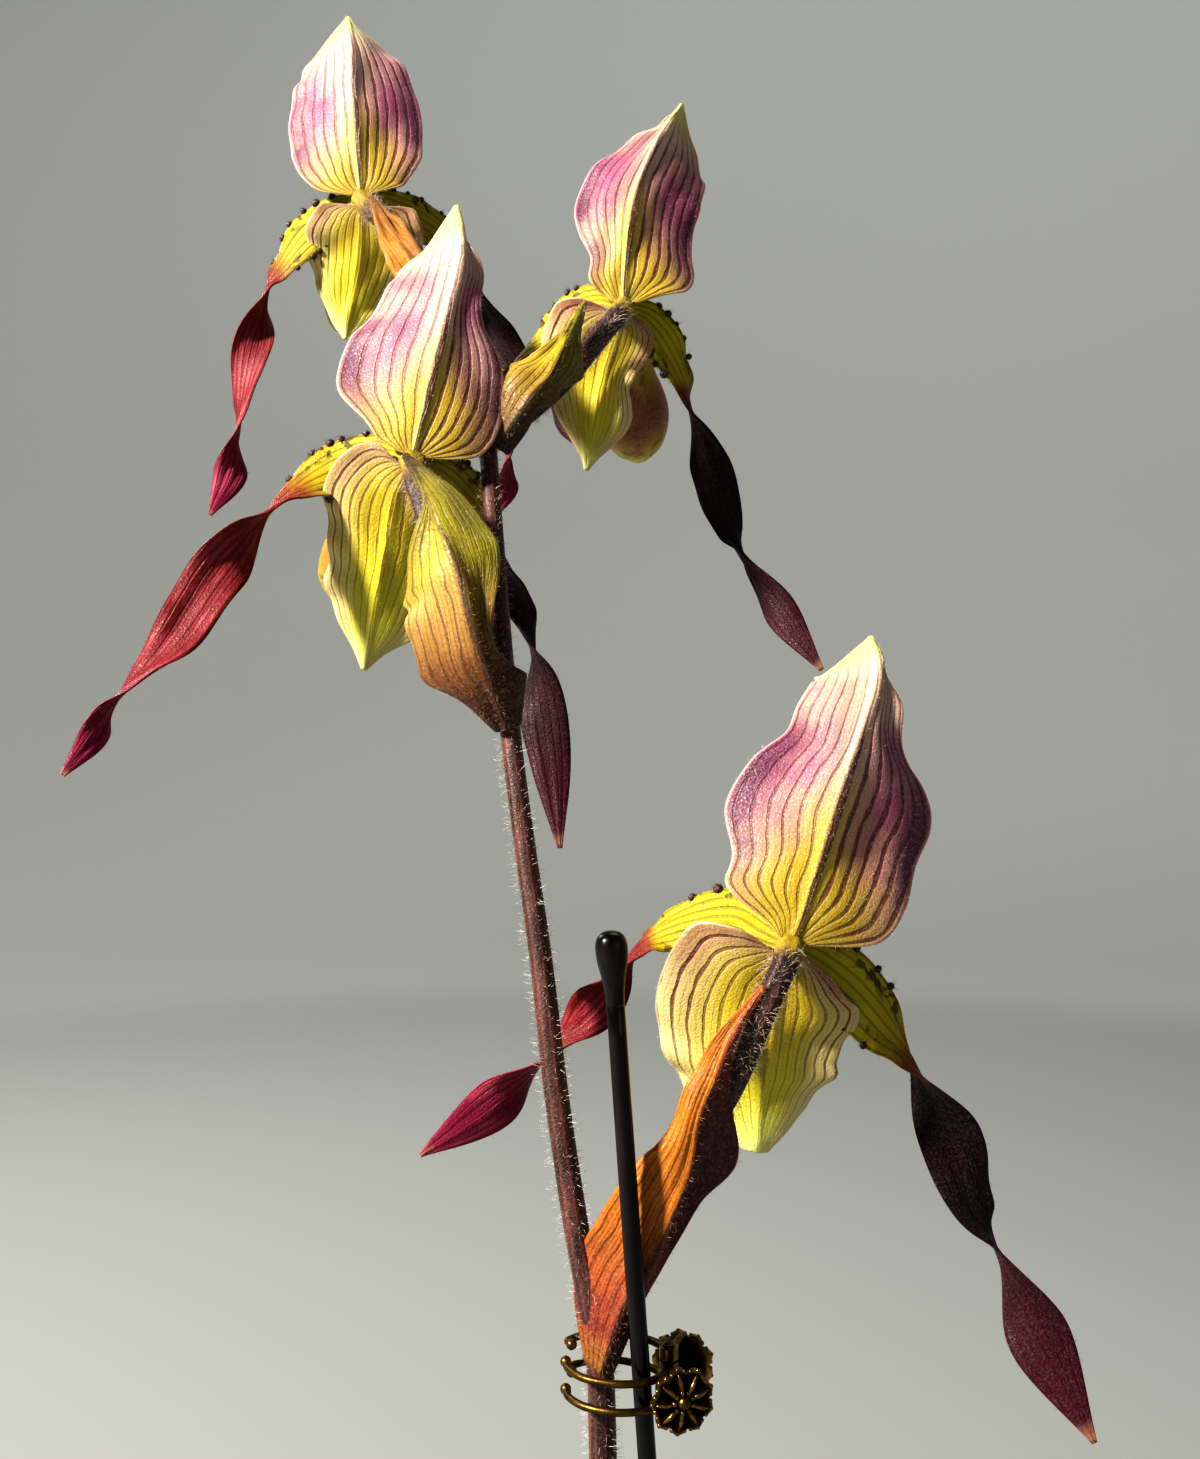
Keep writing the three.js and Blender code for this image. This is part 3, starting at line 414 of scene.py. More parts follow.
# How each kind of blade is made. frill is the height of its margin's waves and frills the most of them,
# ribs the height of its lengthwise ribs, crumple that of its dents and keel that of its midrib.
BLADES = {
    "dorsal": {
        "rows": 110, "columns": 76, "frill": 0.6, "ribs": 0.03, "rib_count": 6.5, "crumple": 0.3,
        "keel": 0.55,
    },
    "synsepal": {
        "rows": 90, "columns": 64, "frill": 0.7, "ribs": 0.03, "rib_count": 7, "crumple": 0.35,
        "keel": 0.4,
    },
    "petal": {
        "rows": 190, "columns": 20, "frill": 0.5, "frills": 12, "ribs": 0.06, "rib_count": 3.2,
        "crumple": 0.2,
    },
    "bract": {"rows": 100, "columns": 62, "frill": 0.6, "ribs": 0.06, "rib_count": 6, "keel": 0.7},
    "leaf": {
        "rows": 110, "columns": 32, "thick": 1.5, "frill": 0.25, "frills": 4, "ribs": 0.05,
        "rib_count": 3, "crumple": 0.25,
    },
}

# How steeply a blade's sides slope from its midrib, from its foot to its tip, and how deep in the head
# its midrib begins.
FOLDS = {
    "dorsal": [0, 0.12, 0.35, 0.45, 0.5, 0.5, 0.4],
    "synsepal": [0, 0.1, 0.25, 0.3, 0.3, 0.3],
    "leaf": [-0.9, -0.5, -0.32, -0.25, -0.2, -0.1],
}
ROOT_DEPTH = 1.2

# Where the warts stand along a petal's foot, on its left margin and on its right one.
WARTS = {
    -1.0: (0.075, 0.115, 0.16, 0.2, 0.245, 0.3),
    1.0: (0.09, 0.14, 0.185, 0.225, 0.27, 0.33),
}

# Hairs by where they grow. density is how many there are to a square centimetre.
PER_SQUARE_CENTIMETRE = 1e4
HAIR_COLUMNS = ("density", "length", "radius", "bend", "lean", "segments", "finish")
HAIR = {
    "scape": (75, 1.8, 0.045, 0.35, 0.5, 2, "pale hairs"),
    "ovary": (190, 2.1, 0.045, 0.9, 0.7, 3, "ovary hairs"),
    "dorsal": (120, 0.65, 0.025, 0.5, 0.5, 1, "pale hairs"),
    "synsepal": (110, 0.65, 0.025, 0.5, 0.5, 1, "pale hairs"),
    "lashes": (170, 0.9, 0.03, 0.5, 0.7, 1, "dark hairs"),
    "tufts": (420, 1.1, 0.035, 0.5, 0.6, 1, "dark hairs"),
    "bract": (190, 1.1, 0.04, 0.5, 0.6, 2, "bract hairs"),
}

# Runs of colour: each stop is a place from 0 to 1 and a colour in six hex digits.
STOPS = {
    "dorsal": [
        (0.08, "8E7C04"), (0.22, "B09A06"), (0.42, "BCA41C"), (0.54, "BC9C62"), (0.68, "BEA08E"),
        (1, "C2B294"),
    ],
    "dorsal veins": [(0, "5A3A04"), (0.3, "58180C"), (0.65, "520C34"), (1, "7A3A54")],
    "synsepal": [
        (0, "96820A"), (0.2, "BCA806"), (0.5, "C8B80C"), (0.75, "CEC62E"), (0.92, "D6D670"),
        (1, "DADA90"),
    ],
    "petal foot": [(0, "9C940A"), (0.2, "AEA408"), (0.3, "A8940C"), (0.35, "7A3A08")],
    "pouch": [(0, "C8B41C"), (0.3, "A87A1E"), (0.55, "7C3A1C"), (0.8, "A8861A"), (1, "C9C024")],
    "bark": [(0.3, "1E110A"), (0.45, "4A2A18"), (0.58, "7A4A2A"), (0.75, "A8805A")],
}

# What the shader of every living part has, where its finish says nothing else.
LIVING = {
    "Subsurface_Weight": 0.22,
    "Subsurface_Radius": (1.0, 0.55, 0.25),
    "Subsurface_Scale": 0.0012,
    "Sheen_Weight": 0.02,
    "Sheen_Roughness": 0.4,
    "Specular_IOR_Level": 0.4,
}

# The floor is a bowl, turned from its radii and heights. A lamp is its name, its place and its target in
# metres, its power, its size and its tint.
STUDIO = {
    "bowl": [[0.02, 0], [1500, 0], [1900, 60], [2200, 260], [2350, 600], [2400, 1100], [2400, 2600]],
    "drop": 0.3,
    "floor": "979A9A",
    "air": "E4E8EC",
    "air_strength": 0.06,
    "lamps": [
        ("key", (-1.45, -0.75, 1.5), (0, 0.03, 0.42), 92, 0.2, "FFF8EC"),
        ("fill", (1.2, -1.3, 0.6), (0, 0.03, 0.42), 1.5, 0.9, "E6EEFF"),
        ("back", (-1.0, 1.1, 1.3), (0, 0.03, 0.42), 7, 0.5, "FFFAF0"),
        ("wall", (0.3, 0.9, 2.2), (0, 2.3, 0.5), 16, 1.2, "F4F8F4"),
    ],
}


# Curves and closed skins

def unit(v):
    return v / np.maximum(np.linalg.norm(v, axis=-1, keepdims=True), 1e-12)


def spline(points, t):
    """A smooth run through evenly timed points or values, read at times t from 0 to 1."""
    p = np.asarray(points, float)
    single = p.ndim == 1
    p = p[:, None] if single else p
    p = np.vstack([2 * p[0] - p[1], p, 2 * p[-1] - p[-2]])
    spans = len(p) - 3
    s = np.clip(np.asarray(t, float), 0, 1) * spans
    i = np.minimum(s.astype(int), spans - 1)
    w = (s - i)[..., None]
    a, b, c, d = p[i], p[i + 1], p[i + 2], p[i + 3]
    square, cube = (2 * a - 5 * b + 4 * c - d) * w**2, (3 * b - a - 3 * c + d) * w**3
    found = 0.5 * (2 * b + (c - a) * w + square + cube)
    return found[..., 0] if single else found


def smooth(value, low, high):
    """0 below low, 1 above high, and a soft step between."""
    x = np.clip((value - low) / (high - low), 0, 1)
    return x * x * (3 - 2 * x)


def ripples(t, u, waves, terms=7):
    """A smooth random field from about -1 to 1, with up to that many waves along t and across u."""
    field = np.zeros(np.broadcast(t, u).shape)
    for _ in range(terms):
        along, across = rng.uniform(0.3, 1, 2) * waves
        field += np.sin(TURN * (along * t + rng.choice([-1, 1]) * across * u / 2) + rng.uniform(0, TURN))
    return field / math.sqrt(terms)


def wander(t, low, high, terms=6):
    """A smooth random run from about -1 to 1, with from low to high waves along t."""
    waves = rng.uniform(low, high, terms)
    starts = rng.uniform(0, TURN, terms)
    return sum(np.sin(TURN * w * t + s) for w, s in zip(waves, starts)) / math.sqrt(terms)


class Skin:
    """A skin: its points in millimetres, its faces, and values held at each point."""

    def __init__(self, points, faces, values=None):
        self.points = np.asarray(points, float).reshape(-1, 3)
        self.faces = faces
        self.values = {name: np.ravel(v) for name, v in (values or {}).items()}

    def outward(self):
        """Turns a closed skin's faces round where they point inward."""
        corners = [(f[0], f[i], f[i + 1]) for f in self.faces for i in range(1, len(f) - 1)]
        a, b, c = (self.points[list(side)] for side in zip(*corners))
        if np.einsum("ij,ij->i", a, np.cross(b, c)).sum() < 0:
            self.faces = [f[::-1] for f in self.faces]
        return self


def joined(skins):
    """Several skins as one."""
    faces, start = [], 0
    for skin in skins:
        faces += [[i + start for i in f] for f in skin.faces]
        start += len(skin.points)
    values = {}
    for name in sorted({name for skin in skins for name in skin.values}):
        values[name] = np.concatenate([skin.values.get(name, np.zeros(len(skin.points))) for skin in skins])
    return Skin(np.vstack([skin.points for skin in skins]), faces, values)


def bands(count, sides):
    """The faces between rings with the same number of points."""
    rows = [(i * sides + j, i * sides + (j + 1) % sides) for i in range(count - 1) for j in range(sides)]
    return [[a, b, b + sides, a + sides] for a, b in rows]


def ringed(rings, values=None):
    """A closed skin over rings with the same number of points, with a fan at each end."""
    rings = np.asarray(rings, float)
    count, sides = rings.shape[:2]
    faces = bands(count, sides)
    ends = [rings[0].mean(0), rings[-1].mean(0)]
    first, last = count * sides, (count - 1) * sides
    for j in range(sides):
        k = (j + 1) % sides
        faces += [[first, k, j], [first + 1, last + j, last + k]]
    held = {n: np.append(np.ravel(v), [np.ravel(v)[0], np.ravel(v)[-1]]) for n, v in (values or {}).items()}
    return Skin(np.vstack([rings.reshape(-1, 3), ends]), faces, held).outward()


def tube(points, radii, rows, sides, ridges=0.0, ridge_count=6, dome=1.0):
    """A round tube along a path with domed ends; ridges is the height of its lengthwise ridges."""
    t = np.linspace(0, 1, rows + 1)
    line, radius = spline(points, t), spline(radii, t)
    along = unit(np.gradient(line, axis=0))
    angles = around(sides)
    crest = np.cos(ridge_count * angles)
    side = unit(np.cross(along[0], [0.3, 1, 0.2]))
    rings, places = [], []

    def ring(i, scale, shift):
        other = np.cross(along[i], side)
        reach = (radius[i] + ridges * crest) * scale
        centre = line[i] + along[i] * shift
        across, deep = np.cos(angles) * reach, np.sin(angles) * reach
        rings.append(centre + np.outer(across, side) + np.outer(deep, other))
        places.append(np.full(sides, t[i]))

    for scale, share in ((0.35, 0.92), (0.75, 0.6)):
        ring(0, scale, -share * dome * radius[0])
    for i in range(rows + 1):
        side = unit(side - along[i] * (side @ along[i]))
        ring(i, 1, 0)
    for scale, share in ((0.75, 0.6), (0.35, 0.92)):
        ring(rows, scale, share * dome * radius[-1])
    return ringed(rings, {"along": places, "crest": [crest] * len(rings)})


def around(sides):
    """Even angles round a full turn."""
    return np.arange(sides) / sides * TURN


def ball(centre, radius, sides, scale=(1, 1, 1)):
    """A round bead."""
    cos, sin = np.cos(around(sides)), np.sin(around(sides))
    tilt = np.linspace(0.12, math.pi - 0.12, sides // 2 + 1)
    low = np.ones(sides)
    rings = [np.stack([cos * math.sin(a), sin * math.sin(a), low * math.cos(a)], -1) for a in tilt]
    return ringed(np.array(rings) * radius * np.array(scale) + np.array(centre))


def turned(profile, sides, x=0.0, y=0.0):
    """The rings of a profile of radius and height, turned about +Z."""
    cos, sin = np.cos(around(sides)), np.sin(around(sides))
    return [np.stack([x + r * cos, y + r * sin, np.full(sides, z)], -1) for r, z in profile]


def lathe(profile, sides, x=0.0, y=0.0):
    """A body turned about +Z from its profile of radius and height."""
    return ringed(turned(profile, sides, x, y))


def leaned(skin, foot, top):
    """A skin that stands on the origin along +Z, set on top and leaned along the line from foot."""
    axis = unit(np.array(top, float) - foot)
    side = unit(np.cross([0, 1, 0], axis))
    skin.points = skin.points @ np.stack([side, np.cross(axis, side), axis]) + top
    return skin


# Blades: sepals, petals, bracts and leaves

def on_side(spec, name, t, u, default=(0, 0)):
    """A blade's value at t, from the table of the side that u is on."""
    tables = (spec.get(f"{name}_{side}", spec.get(name, default)) for side in ("left", "right"))
    left, right = (spline(table, t) for table in tables)
    return np.where(u < 0, left, right)


def blade_sheet(spec, t, u):
    """The places on a blade's middle sheet at t along its midrib and u across it, and its half width."""
    step = 1e-3
    along = unit(spline(spec["mid"], t + step) - spline(spec["mid"], t - step))
    level = unit(np.cross(np.array(spec.get("toward", [0, 1, 0]), float), along))
    deep = np.cross(along, level)
    angle = np.radians(spline(spec.get("turn", [0, 0]), t))[..., None]
    across = level * np.cos(angle) + deep * np.sin(angle)
    back = np.cross(along, across)
    half = np.maximum(on_side(spec, "width", t, u), 0.3)
    round_to = on_side(spec, "round", t, u, (500, 500))
    bend = np.minimum(half * np.abs(u) / round_to, math.pi / 2)
    reach = round_to * np.sin(bend) * np.sign(u)
    drop = round_to * (1 - np.cos(bend)) + on_side(spec, "fold", t, u, (0.12, 0.12)) * half * np.abs(u)
    lobe = on_side(spec, "lobe", t, u) * u**2
    line = spline(spec["mid"], t)
    return line + across * reach[..., None] + back * drop[..., None] - along * lobe[..., None], half


def across_sheet(sheet):
    """The direction straight out of a sheet at each of its points."""
    return unit(np.cross(np.gradient(sheet, axis=0), np.gradient(sheet, axis=1)))


def blade(spec, rows, columns, frill, ribs, rib_count, crumple, thick=0.6, frills=7, keel=0.0):
    """A closed thin blade with a wavy margin, lengthwise ribs, crumples and a keel on its back."""
    t = np.linspace(0, 1, rows + 1)[:, None] + np.zeros(columns + 1)
    u = np.linspace(-1, 1, columns + 1) + np.zeros((rows + 1, 1))
    sheet, half = blade_sheet(spec, t, u)
    ends = np.sin(math.pi * np.clip(t, 0.02, 0.98)) ** 0.6
    edge = np.where(u < 0, wander(t, 1.5, frills), wander(t, 1.5, frills))
    relief = frill * np.abs(u) ** 3 * edge * ends
    relief += crumple * ripples(t, u, 3.2) * ends + ribs * np.cos(TURN * rib_count * u) * ends
    sheet = sheet + across_sheet(sheet) * relief[..., None]
    normal = across_sheet(sheet)
    depth = (thick / 2 * (1 - 0.55 * np.abs(u) ** 10) * (1 - 0.4 * t**8))[..., None]
    ridge = (keel * np.exp(-((u * half / 0.8) ** 2)) * (1 - 0.6 * t))[..., None]
    front = sheet + normal * depth
    rear = sheet - normal * (depth + ridge)
    n, wide = t.size, columns + 1
    faces = []
    for i in range(rows):
        for j in range(columns):
            a = i * wide + j
            faces.append([a, a + wide, a + wide + 1, a + 1])
            faces.append([n + a, n + a + 1, n + a + wide + 1, n + a + wide])
        a, b = i * wide, i * wide + columns
        faces += [[a, n + a, n + a + wide, a + wide], [b, b + wide, n + b + wide, n + b]]
    for j in range(columns):
        b = rows * wide + j
        faces += [[j, j + 1, n + j + 1, n + j], [b, n + b, n + b + 1, b + 1]]
    both = {"across": u, "along": t, "half": half}
    values = {name: np.concatenate([v.ravel(), v.ravel()]) for name, v in both.items()}
    values["inner"] = np.concatenate([np.ones(n), np.zeros(n)])
    return Skin(np.concatenate([front.reshape(-1, 3), rear.reshape(-1, 3)]), faces, values).outward()


def rooted(bloom, name):
    """A bloom's blade, with a first point of its midrib that lies inside the head."""
    head, mid = np.array(bloom["head"], float), bloom[name]["mid"]
    return {**bloom[name], "mid": [list(head + unit(np.array(mid[0]) - head) * ROOT_DEPTH), *mid]}


# Objects

def linked(name, data):
    """A new object in the scene."""
    thing = bpy.data.objects.new(name, data)
    bpy.context.scene.collection.objects.link(thing)
    return thing


def made(name, skin, material=None):
    """A mesh object from a skin."""
    mesh = bpy.data.meshes.new(name)
    mesh.from_pydata((skin.points * MM).tolist(), [], skin.faces)
    for value_name, values in skin.values.items():
        held = mesh.attributes.new(value_name, "FLOAT", "POINT").data
        held.foreach_set("value", values.astype(np.float32))
    mesh.polygons.foreach_set("use_smooth", np.ones(len(mesh.polygons), bool))
    if material:
        mesh.materials.append(material)
    return linked(name, mesh)


def evaluated(thing):
    """The plain mesh that an object's modifiers make."""
    view = bpy.context.evaluated_depsgraph_get()
    return bpy.data.meshes.new_from_object(thing.evaluated_get(view), depsgraph=view)


def sharp(thing, angle=45):
    """Keeps the edges of an object sharp that are steeper than the angle."""
    thing.data.set_sharp_from_angle(angle=math.radians(angle))
    return thing


def placed(thing, slot, *nodes, body="plant"):
    """Makes an object a piece of the part: it rides a body and stands for the nodes."""
    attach(thing, body)
    if nodes:
        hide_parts(*nodes)


class Tree:
    """A node tree as it is built. Each call adds a node and gives back the node or its output."""

    def __init__(self, tree):
        self.tree = tree

    def add(self, kind, inputs=None, **settings):
        node = self.tree.nodes.new(kind)
        for key, value in settings.items():
            setattr(node, key, value)
        for key, value in (inputs or {}).items():
            self.put(node.inputs[key], value)
        return node

    def put(self, socket, value):
        if isinstance(value, bpy.types.NodeSocket):
            self.tree.links.new(value, socket)
        else:
            socket.default_value = value

    def math(self, operation, *values):
        return self.add("ShaderNodeMath", dict(enumerate(values)), operation=operation).outputs[0]

    def plus(self, first, *others):
        for value in others:
            first = self.math("ADD", first, value)
        return first

    def minus(self, a, b):
        return self.math("SUBTRACT", a, b)

    def times(self, first, *others):
        for value in others:
            first = self.math("MULTIPLY", first, value)
        return first

    def size(self, value):
        """A value without its sign."""
        return self.math("ABSOLUTE", value)

    def swing(self, noise, amount):
        """A noise as a drift by up to half the amount to either side."""
        return self.times(self.minus(noise, 0.5), amount)

    def mix(self, factor, a, b):
        a, b = (colour(x) if isinstance(x, str) else x for x in (a, b))
        node = self.add("ShaderNodeMix", data_type="RGBA")
        for index, value in ((0, factor), (6, a), (7, b)):
            self.put(node.inputs[index], value)
        return node.outputs[2]

    def step(self, value, low, high, start=0.0, end=1.0):
        """A soft step from start at low to end at high."""
        inputs = dict(enumerate((value, low, high, start, end)))
        return self.add("ShaderNodeMapRange", inputs, interpolation_type="SMOOTHSTEP").outputs[0]

    def hill(self, value, low, top, high):
        """A soft rise from low to 1 at top, and down to 0 at high."""
        return self.times(self.step(value, low, top), self.step(value, top, high, 1.0, 0.0))

    def ramp(self, value, stops):
        """A run of colours, each at its own place along a value."""
        node = self.add("ShaderNodeValToRGB", {0: value})
        marks = node.color_ramp.elements
        for place, _ in stops[1:-1]:
            marks.new(place)
        for mark, (place, text) in zip(marks, stops):
            mark.position, mark.color = place, colour(text)
        return node.outputs[0]

    def noise(self, scale, detail, stretch=None):
        place = self.add("ShaderNodeTexCoord").outputs["Object"]
        if stretch:
            place = self.add("ShaderNodeMapping", {"Vector": place, "Scale": stretch}).outputs[0]
        inputs = {"Vector": place, "Scale": scale, "Detail": detail, "Roughness": 0.55}
        return self.add("ShaderNodeTexNoise", inputs).outputs[0]

    def value(self, name):
        return self.add("ShaderNodeAttribute", attribute_name=name).outputs["Fac"]

    def bump(self, height, strength, distance):
        inputs = {"Height": height, "Strength": strength, "Distance": distance}
        return self.add("ShaderNodeBump", inputs).outputs[0]

    def chance(self, low, high, seed, kind="FLOAT"):
        """A random value for each point, from low to high."""
        node = self.add("FunctionNodeRandomValue", {"Seed": seed}, data_type=kind)
        ends = [socket for socket in node.inputs if socket.enabled]
        self.put(ends[0], low)
        self.put(ends[1], high)
        return next(socket for socket in node.outputs if socket.enabled)


def colour(text):
    """A colour written as six hex digits, as linear values."""
    parts = [int(text[i : i + 2], 16) / 255 for i in (0, 2, 4)]
    return [p / 12.92 if p <= 0.04045 else ((p + 0.055) / 1.055) ** 2.4 for p in parts] + [1.0]


class Paint(Tree):
    """A new material's tree, with plain values set on its shader. ground is its colour so far."""

    def __init__(self, name, **values):
        self.ground = None
        self.material = bpy.data.materials.new(name)
        self.material.use_nodes = True
        super().__init__(self.material.node_tree)
        self.done(**values)

    def done(self, **values):
        """Sets or joins values to the shader's sockets, and gives back the material."""
        sockets = self.tree.nodes["Principled BSDF"].inputs
        for name, value in values.items():
            self.put(sockets[name.replace("_", " ")], value)
        return self.material

    def over(self, tint, *masks):
        """Lays a colour over the ground, where all the masks are."""
        self.ground = self.mix(self.times(*masks), self.ground, tint)

    def living(self, grooves, size=2500.0, relief=0.0003, speckle=0.22):
        """Joins the ground of a living part, with the skin's speckle and the grooves of its veins; the
        speckle's pale flecks are partly the skin's own pale grain and down, and partly painted glints.
        """
        skin = self.add("ShaderNodeGroup", {"Size": size}, node_tree=SKIN).outputs
        height = self.minus(self.times(skin["Height"], 0.3), self.times(grooves, 0.5))
        # Pale flecks: partly the skin's own pale grain and down, partly painted glints on it
        self.over(self.mix(0.55, self.ground, "FFF6EC"), skin["Speckle"], speckle)
        return self.done(
            Base_Color=self.ground,
            Roughness=self.step(skin["Speckle"], 0.0, 1.0, 0.55, 0.38),
            Normal=self.bump(height, 0.8, relief),
        )

    def veins(self, count, line, fade, waver):
        """A mask of veins along a blade, and the swell between them."""
        inputs = {"Count": count, "Line": line, "Fade": fade, "Waver": waver}
        inputs.update(Across=self.value("across"), Along=self.value("along"))
        return self.add("ShaderNodeGroup", inputs, node_tree=VEINS).outputs


def alive(name, **changes):
    """A living part's material, and what its shader has of its own."""
    return Paint(name, **{**LIVING, **changes})


# Effects that several finishes share

def shader_group(name, inputs, outputs):
    """A shader group with numbers going in and coming out."""
    group = bpy.data.node_groups.new(name, "ShaderNodeTree")
    for socket_name, usual in inputs.items():
        socket = group.interface.new_socket(socket_name, in_out="INPUT", socket_type="NodeSocketFloat")
        socket.default_value = usual
    for socket_name in outputs:
        group.interface.new_socket(socket_name, in_out="OUTPUT", socket_type="NodeSocketFloat")
    tree = Tree(group)
    return group, tree, tree.add("NodeGroupInput").outputs


def vein_group():
    """Veins along a blade, evenly spaced across it: a mask of the veins, and the swell between them."""
    usual = {"Across": 0, "Along": 0, "Count": 8, "Line": 0.3, "Fade": 0.6, "Waver": 0.5}
    group, tree, given = shader_group("parallel veins", usual, ("Veins", "Swell"))
    drift = tree.swing(tree.noise(90, 2), given["Waver"])
    apart = tree.math("PINGPONG", tree.plus(tree.times(given["Across"], given["Count"]), drift), 0.5)
    thin = tree.minus(1.0, tree.times(given["Fade"], given["Along"]))
    line = tree.times(given["Line"], thin, tree.step(tree.noise(260, 2), 0.3, 0.7, 0.65, 1.15))
    veins = tree.step(tree.math("DIVIDE", apart, line), 0.45, 1.0, 1.0, 0.0)
    tree.add("NodeGroupOutput", {"Veins": veins, "Swell": tree.times(apart, 2.0)})
    return group


def skin_group():
    """A living part's fine skin of raised cells and grain: a height, and a speckle of light and dark."""
    group, tree, given = shader_group("living skin", {"Size": 2500}, ("Height", "Speckle"))
    place = tree.add("ShaderNodeTexCoord").outputs["Object"]
    cells = tree.add("ShaderNodeTexVoronoi", {"Vector": place, "Scale": given["Size"]}).outputs["Distance"]
    inputs = {"Vector": place, "Scale": given["Size"], "Detail": 2.0}
    grain = tree.add("ShaderNodeTexNoise", inputs).outputs[0]
    height, speckle = tree.plus(cells, tree.times(grain, 0.6)), tree.step(grain, 0.42, 0.72)
    tree.add("NodeGroupOutput", {"Height": height, "Speckle": speckle})
    return group


VEINS, SKIN = vein_group(), skin_group()


# Finishes

def dorsal_finish():
    """Cream flushed with rose, yellow at the foot, plum at its widest, with brown-purple veins, painted
    wider and darker on the right half as painted shade.
    """
    paint = alive("dorsal sepal")
    along, across = paint.value("along"), paint.value("across")
    side = paint.size(across)
    # right marks the right half, whose veins are painted wider and darker as painted shade
    right = paint.step(across, -0.02, 0.12)
    patches = paint.noise(75, 4)
    place = paint.plus(along, paint.times(side, 0.28), paint.times(patches, 0.2))
    paint.ground = paint.ramp(place, STOPS["dorsal"])
    paint.over("CCCC78", paint.step(along, 0.8, 0.95))
    flush = paint.times(paint.step(side, 0.0, 0.5), paint.hill(along, 0.12, 0.52, 0.97))
    paint.over("9A4870", flush, paint.step(patches, 0.32, 0.6, 0.4, 1.0))
    plum = paint.times(paint.hill(side, 0.55, 0.9, 1.08), paint.hill(along, 0.1, 0.4, 0.7))
    paint.over("560A42", plum, paint.step(patches, 0.3, 0.5, 0.3, 1.0))
    paint.over("8A4450", paint.veins(15.0, 0.16, 0.5, 1.0)["Veins"], 0.3)
    main = paint.veins(6.5, paint.plus(paint.times(right, 0.1), 0.17), 0.35, 0.7)["Veins"]
    fade, darker = paint.step(along, 0.55, 1.0, 0.95, 0.2), paint.plus(paint.times(right, 0.25), 0.7)
    strength = paint.times(fade, darker, paint.step(patches, 0.3, 0.5, 0.65, 1.0))
    paint.over(paint.ramp(along, STOPS["dorsal veins"]), main, strength)
    paint.over("D8B4AC", paint.step(side, 0.965, 0.995), 0.5)
    keel = paint.times(paint.step(side, 0.015, 0.06, 0.85, 0.0), paint.step(along, 0.5, 0.85, 1.0, 0.0))
    paint.over("3E1208", keel)
    return paint.living(main)


def synsepal_finish():
    """Bright yellow-green, paler to its tip and margins, with warm brown veins."""
    paint = alive("synsepal")
    along, side = paint.value("along"), paint.size(paint.value("across"))
    patches = paint.noise(80, 4)
    paint.ground = paint.ramp(along, STOPS["synsepal"])
    outer = paint.times(paint.step(side, 0.3, 0.9), paint.step(patches, 0.25, 0.6, 0.5, 1.0))
    paint.over("D6C49A", outer, 0.8)
    shoulder = paint.times(paint.step(side, 0.45, 0.95), paint.step(along, 0.05, 0.5, 1.0, 0.0))
    paint.over("84382A", shoulder, paint.step(patches, 0.3, 0.6, 0.3, 0.9))
    paint.over("7A4A08", paint.veins(14.0, 0.16, 0.5, 1.0)["Veins"], 0.3)
    main = paint.veins(7.0, 0.19, 0.35, 0.8)["Veins"]
    fade, darker = paint.step(along, 0.35, 0.95, 0.95, 0.2), paint.plus(paint.times(outer, 0.5), 0.5)
    paint.over(paint.mix(outer, "7A4A04", "56160C"), main, paint.times(fade, darker))
    paint.over("DCCCA4", paint.step(side, 0.965, 0.995), 0.5)
    return paint.living(main)


def petal_finish(side, low, high, ridge):
    """Yellow-green at the foot, brown at the neck, then deep maroon with rosy ridges to a paler tip. It is
    made twice: lighter with pink ridges for the left petals as painted light and highlight, and near black
    for the right ones as painted shade.
    """
    paint = alive(f"{side} petal", Subsurface_Weight=0.0, Specular_IOR_Level=0.2)
    along, edge = paint.value("tone"), paint.size(paint.value("across"))
    patches = paint.noise(120, 3)
    stops = STOPS["petal foot"] + [(0.41, low), (0.7, low), (0.93, high), (0.975, high), (1, "A0705A")]
    paint.ground = paint.ramp(paint.plus(along, paint.swing(patches, 0.08)), stops)
    lines = paint.veins(3.2, 0.2, 0.2, 0.3)
    foot = paint.step(along, 0.3, 0.4, 1.0, 0.0)
    paint.over("4A3404", lines["Veins"], foot, 0.4)
    swell = paint.times(lines["Swell"], paint.step(along, 0.4, 0.6), paint.step(patches, 0.4, 0.65))
    paint.over(ridge, swell, 0.5)
    spots = paint.times(paint.step(paint.noise(330, 2), 0.52, 0.58), paint.step(edge, 0.25, 0.7))
    paint.over("300C06", spots, paint.hill(along, 0.03, 0.22, 0.4), 0.9)
    return paint.living(lines["Veins"], speckle=0.06)


def bract_finish(letter):
    """A bract's skin, with lengthwise veins and a dark keel; its two sides differ partly in their own
    colour and partly by painted light, the left side painted paler and the right side darker as painted
    shade.
    """
    look = BRACTS[letter]
    paint = alive(f"bract {letter}")
    along, across = paint.value("along"), paint.value("across")
    patches = paint.noise(85, 4)
    place = paint.plus(along, paint.swing(patches, 0.22))
    # The left ramp is painted paler as painted light and the right one darker as painted shade, over the
    # bract's own colours
    left, right = (paint.ramp(place, look[side]) for side in ("left", "right"))
    paint.ground = paint.mix(paint.step(across, -0.05, 0.08), left, right)
    stains = paint.times(paint.step(paint.noise(150, 5), 0.45, 0.75), 0.4)
    paint.over(paint.mix(0.5, paint.ground, look["vein"]), stains)
    fine, main = paint.veins(17.0, 0.22, 0.2, 1.4)["Veins"], paint.veins(5.5, 0.13, 0.3, 1.5)["Veins"]
    veins = paint.math("MAXIMUM", paint.times(fine, 0.3), paint.times(main, 0.65))
    paint.over(look["vein"], veins, paint.step(patches, 0.3, 0.5, 0.45, 1.0))
    middle = paint.step(paint.size(across), 0.01, 0.07, 0.8, 0.0)
    keel = paint.times(middle, paint.step(along, 0.5, 0.9, 1.0, 0.3))
    paint.over("2E120A", keel)
    return paint.living(veins, size=1600.0, speckle=0.1)


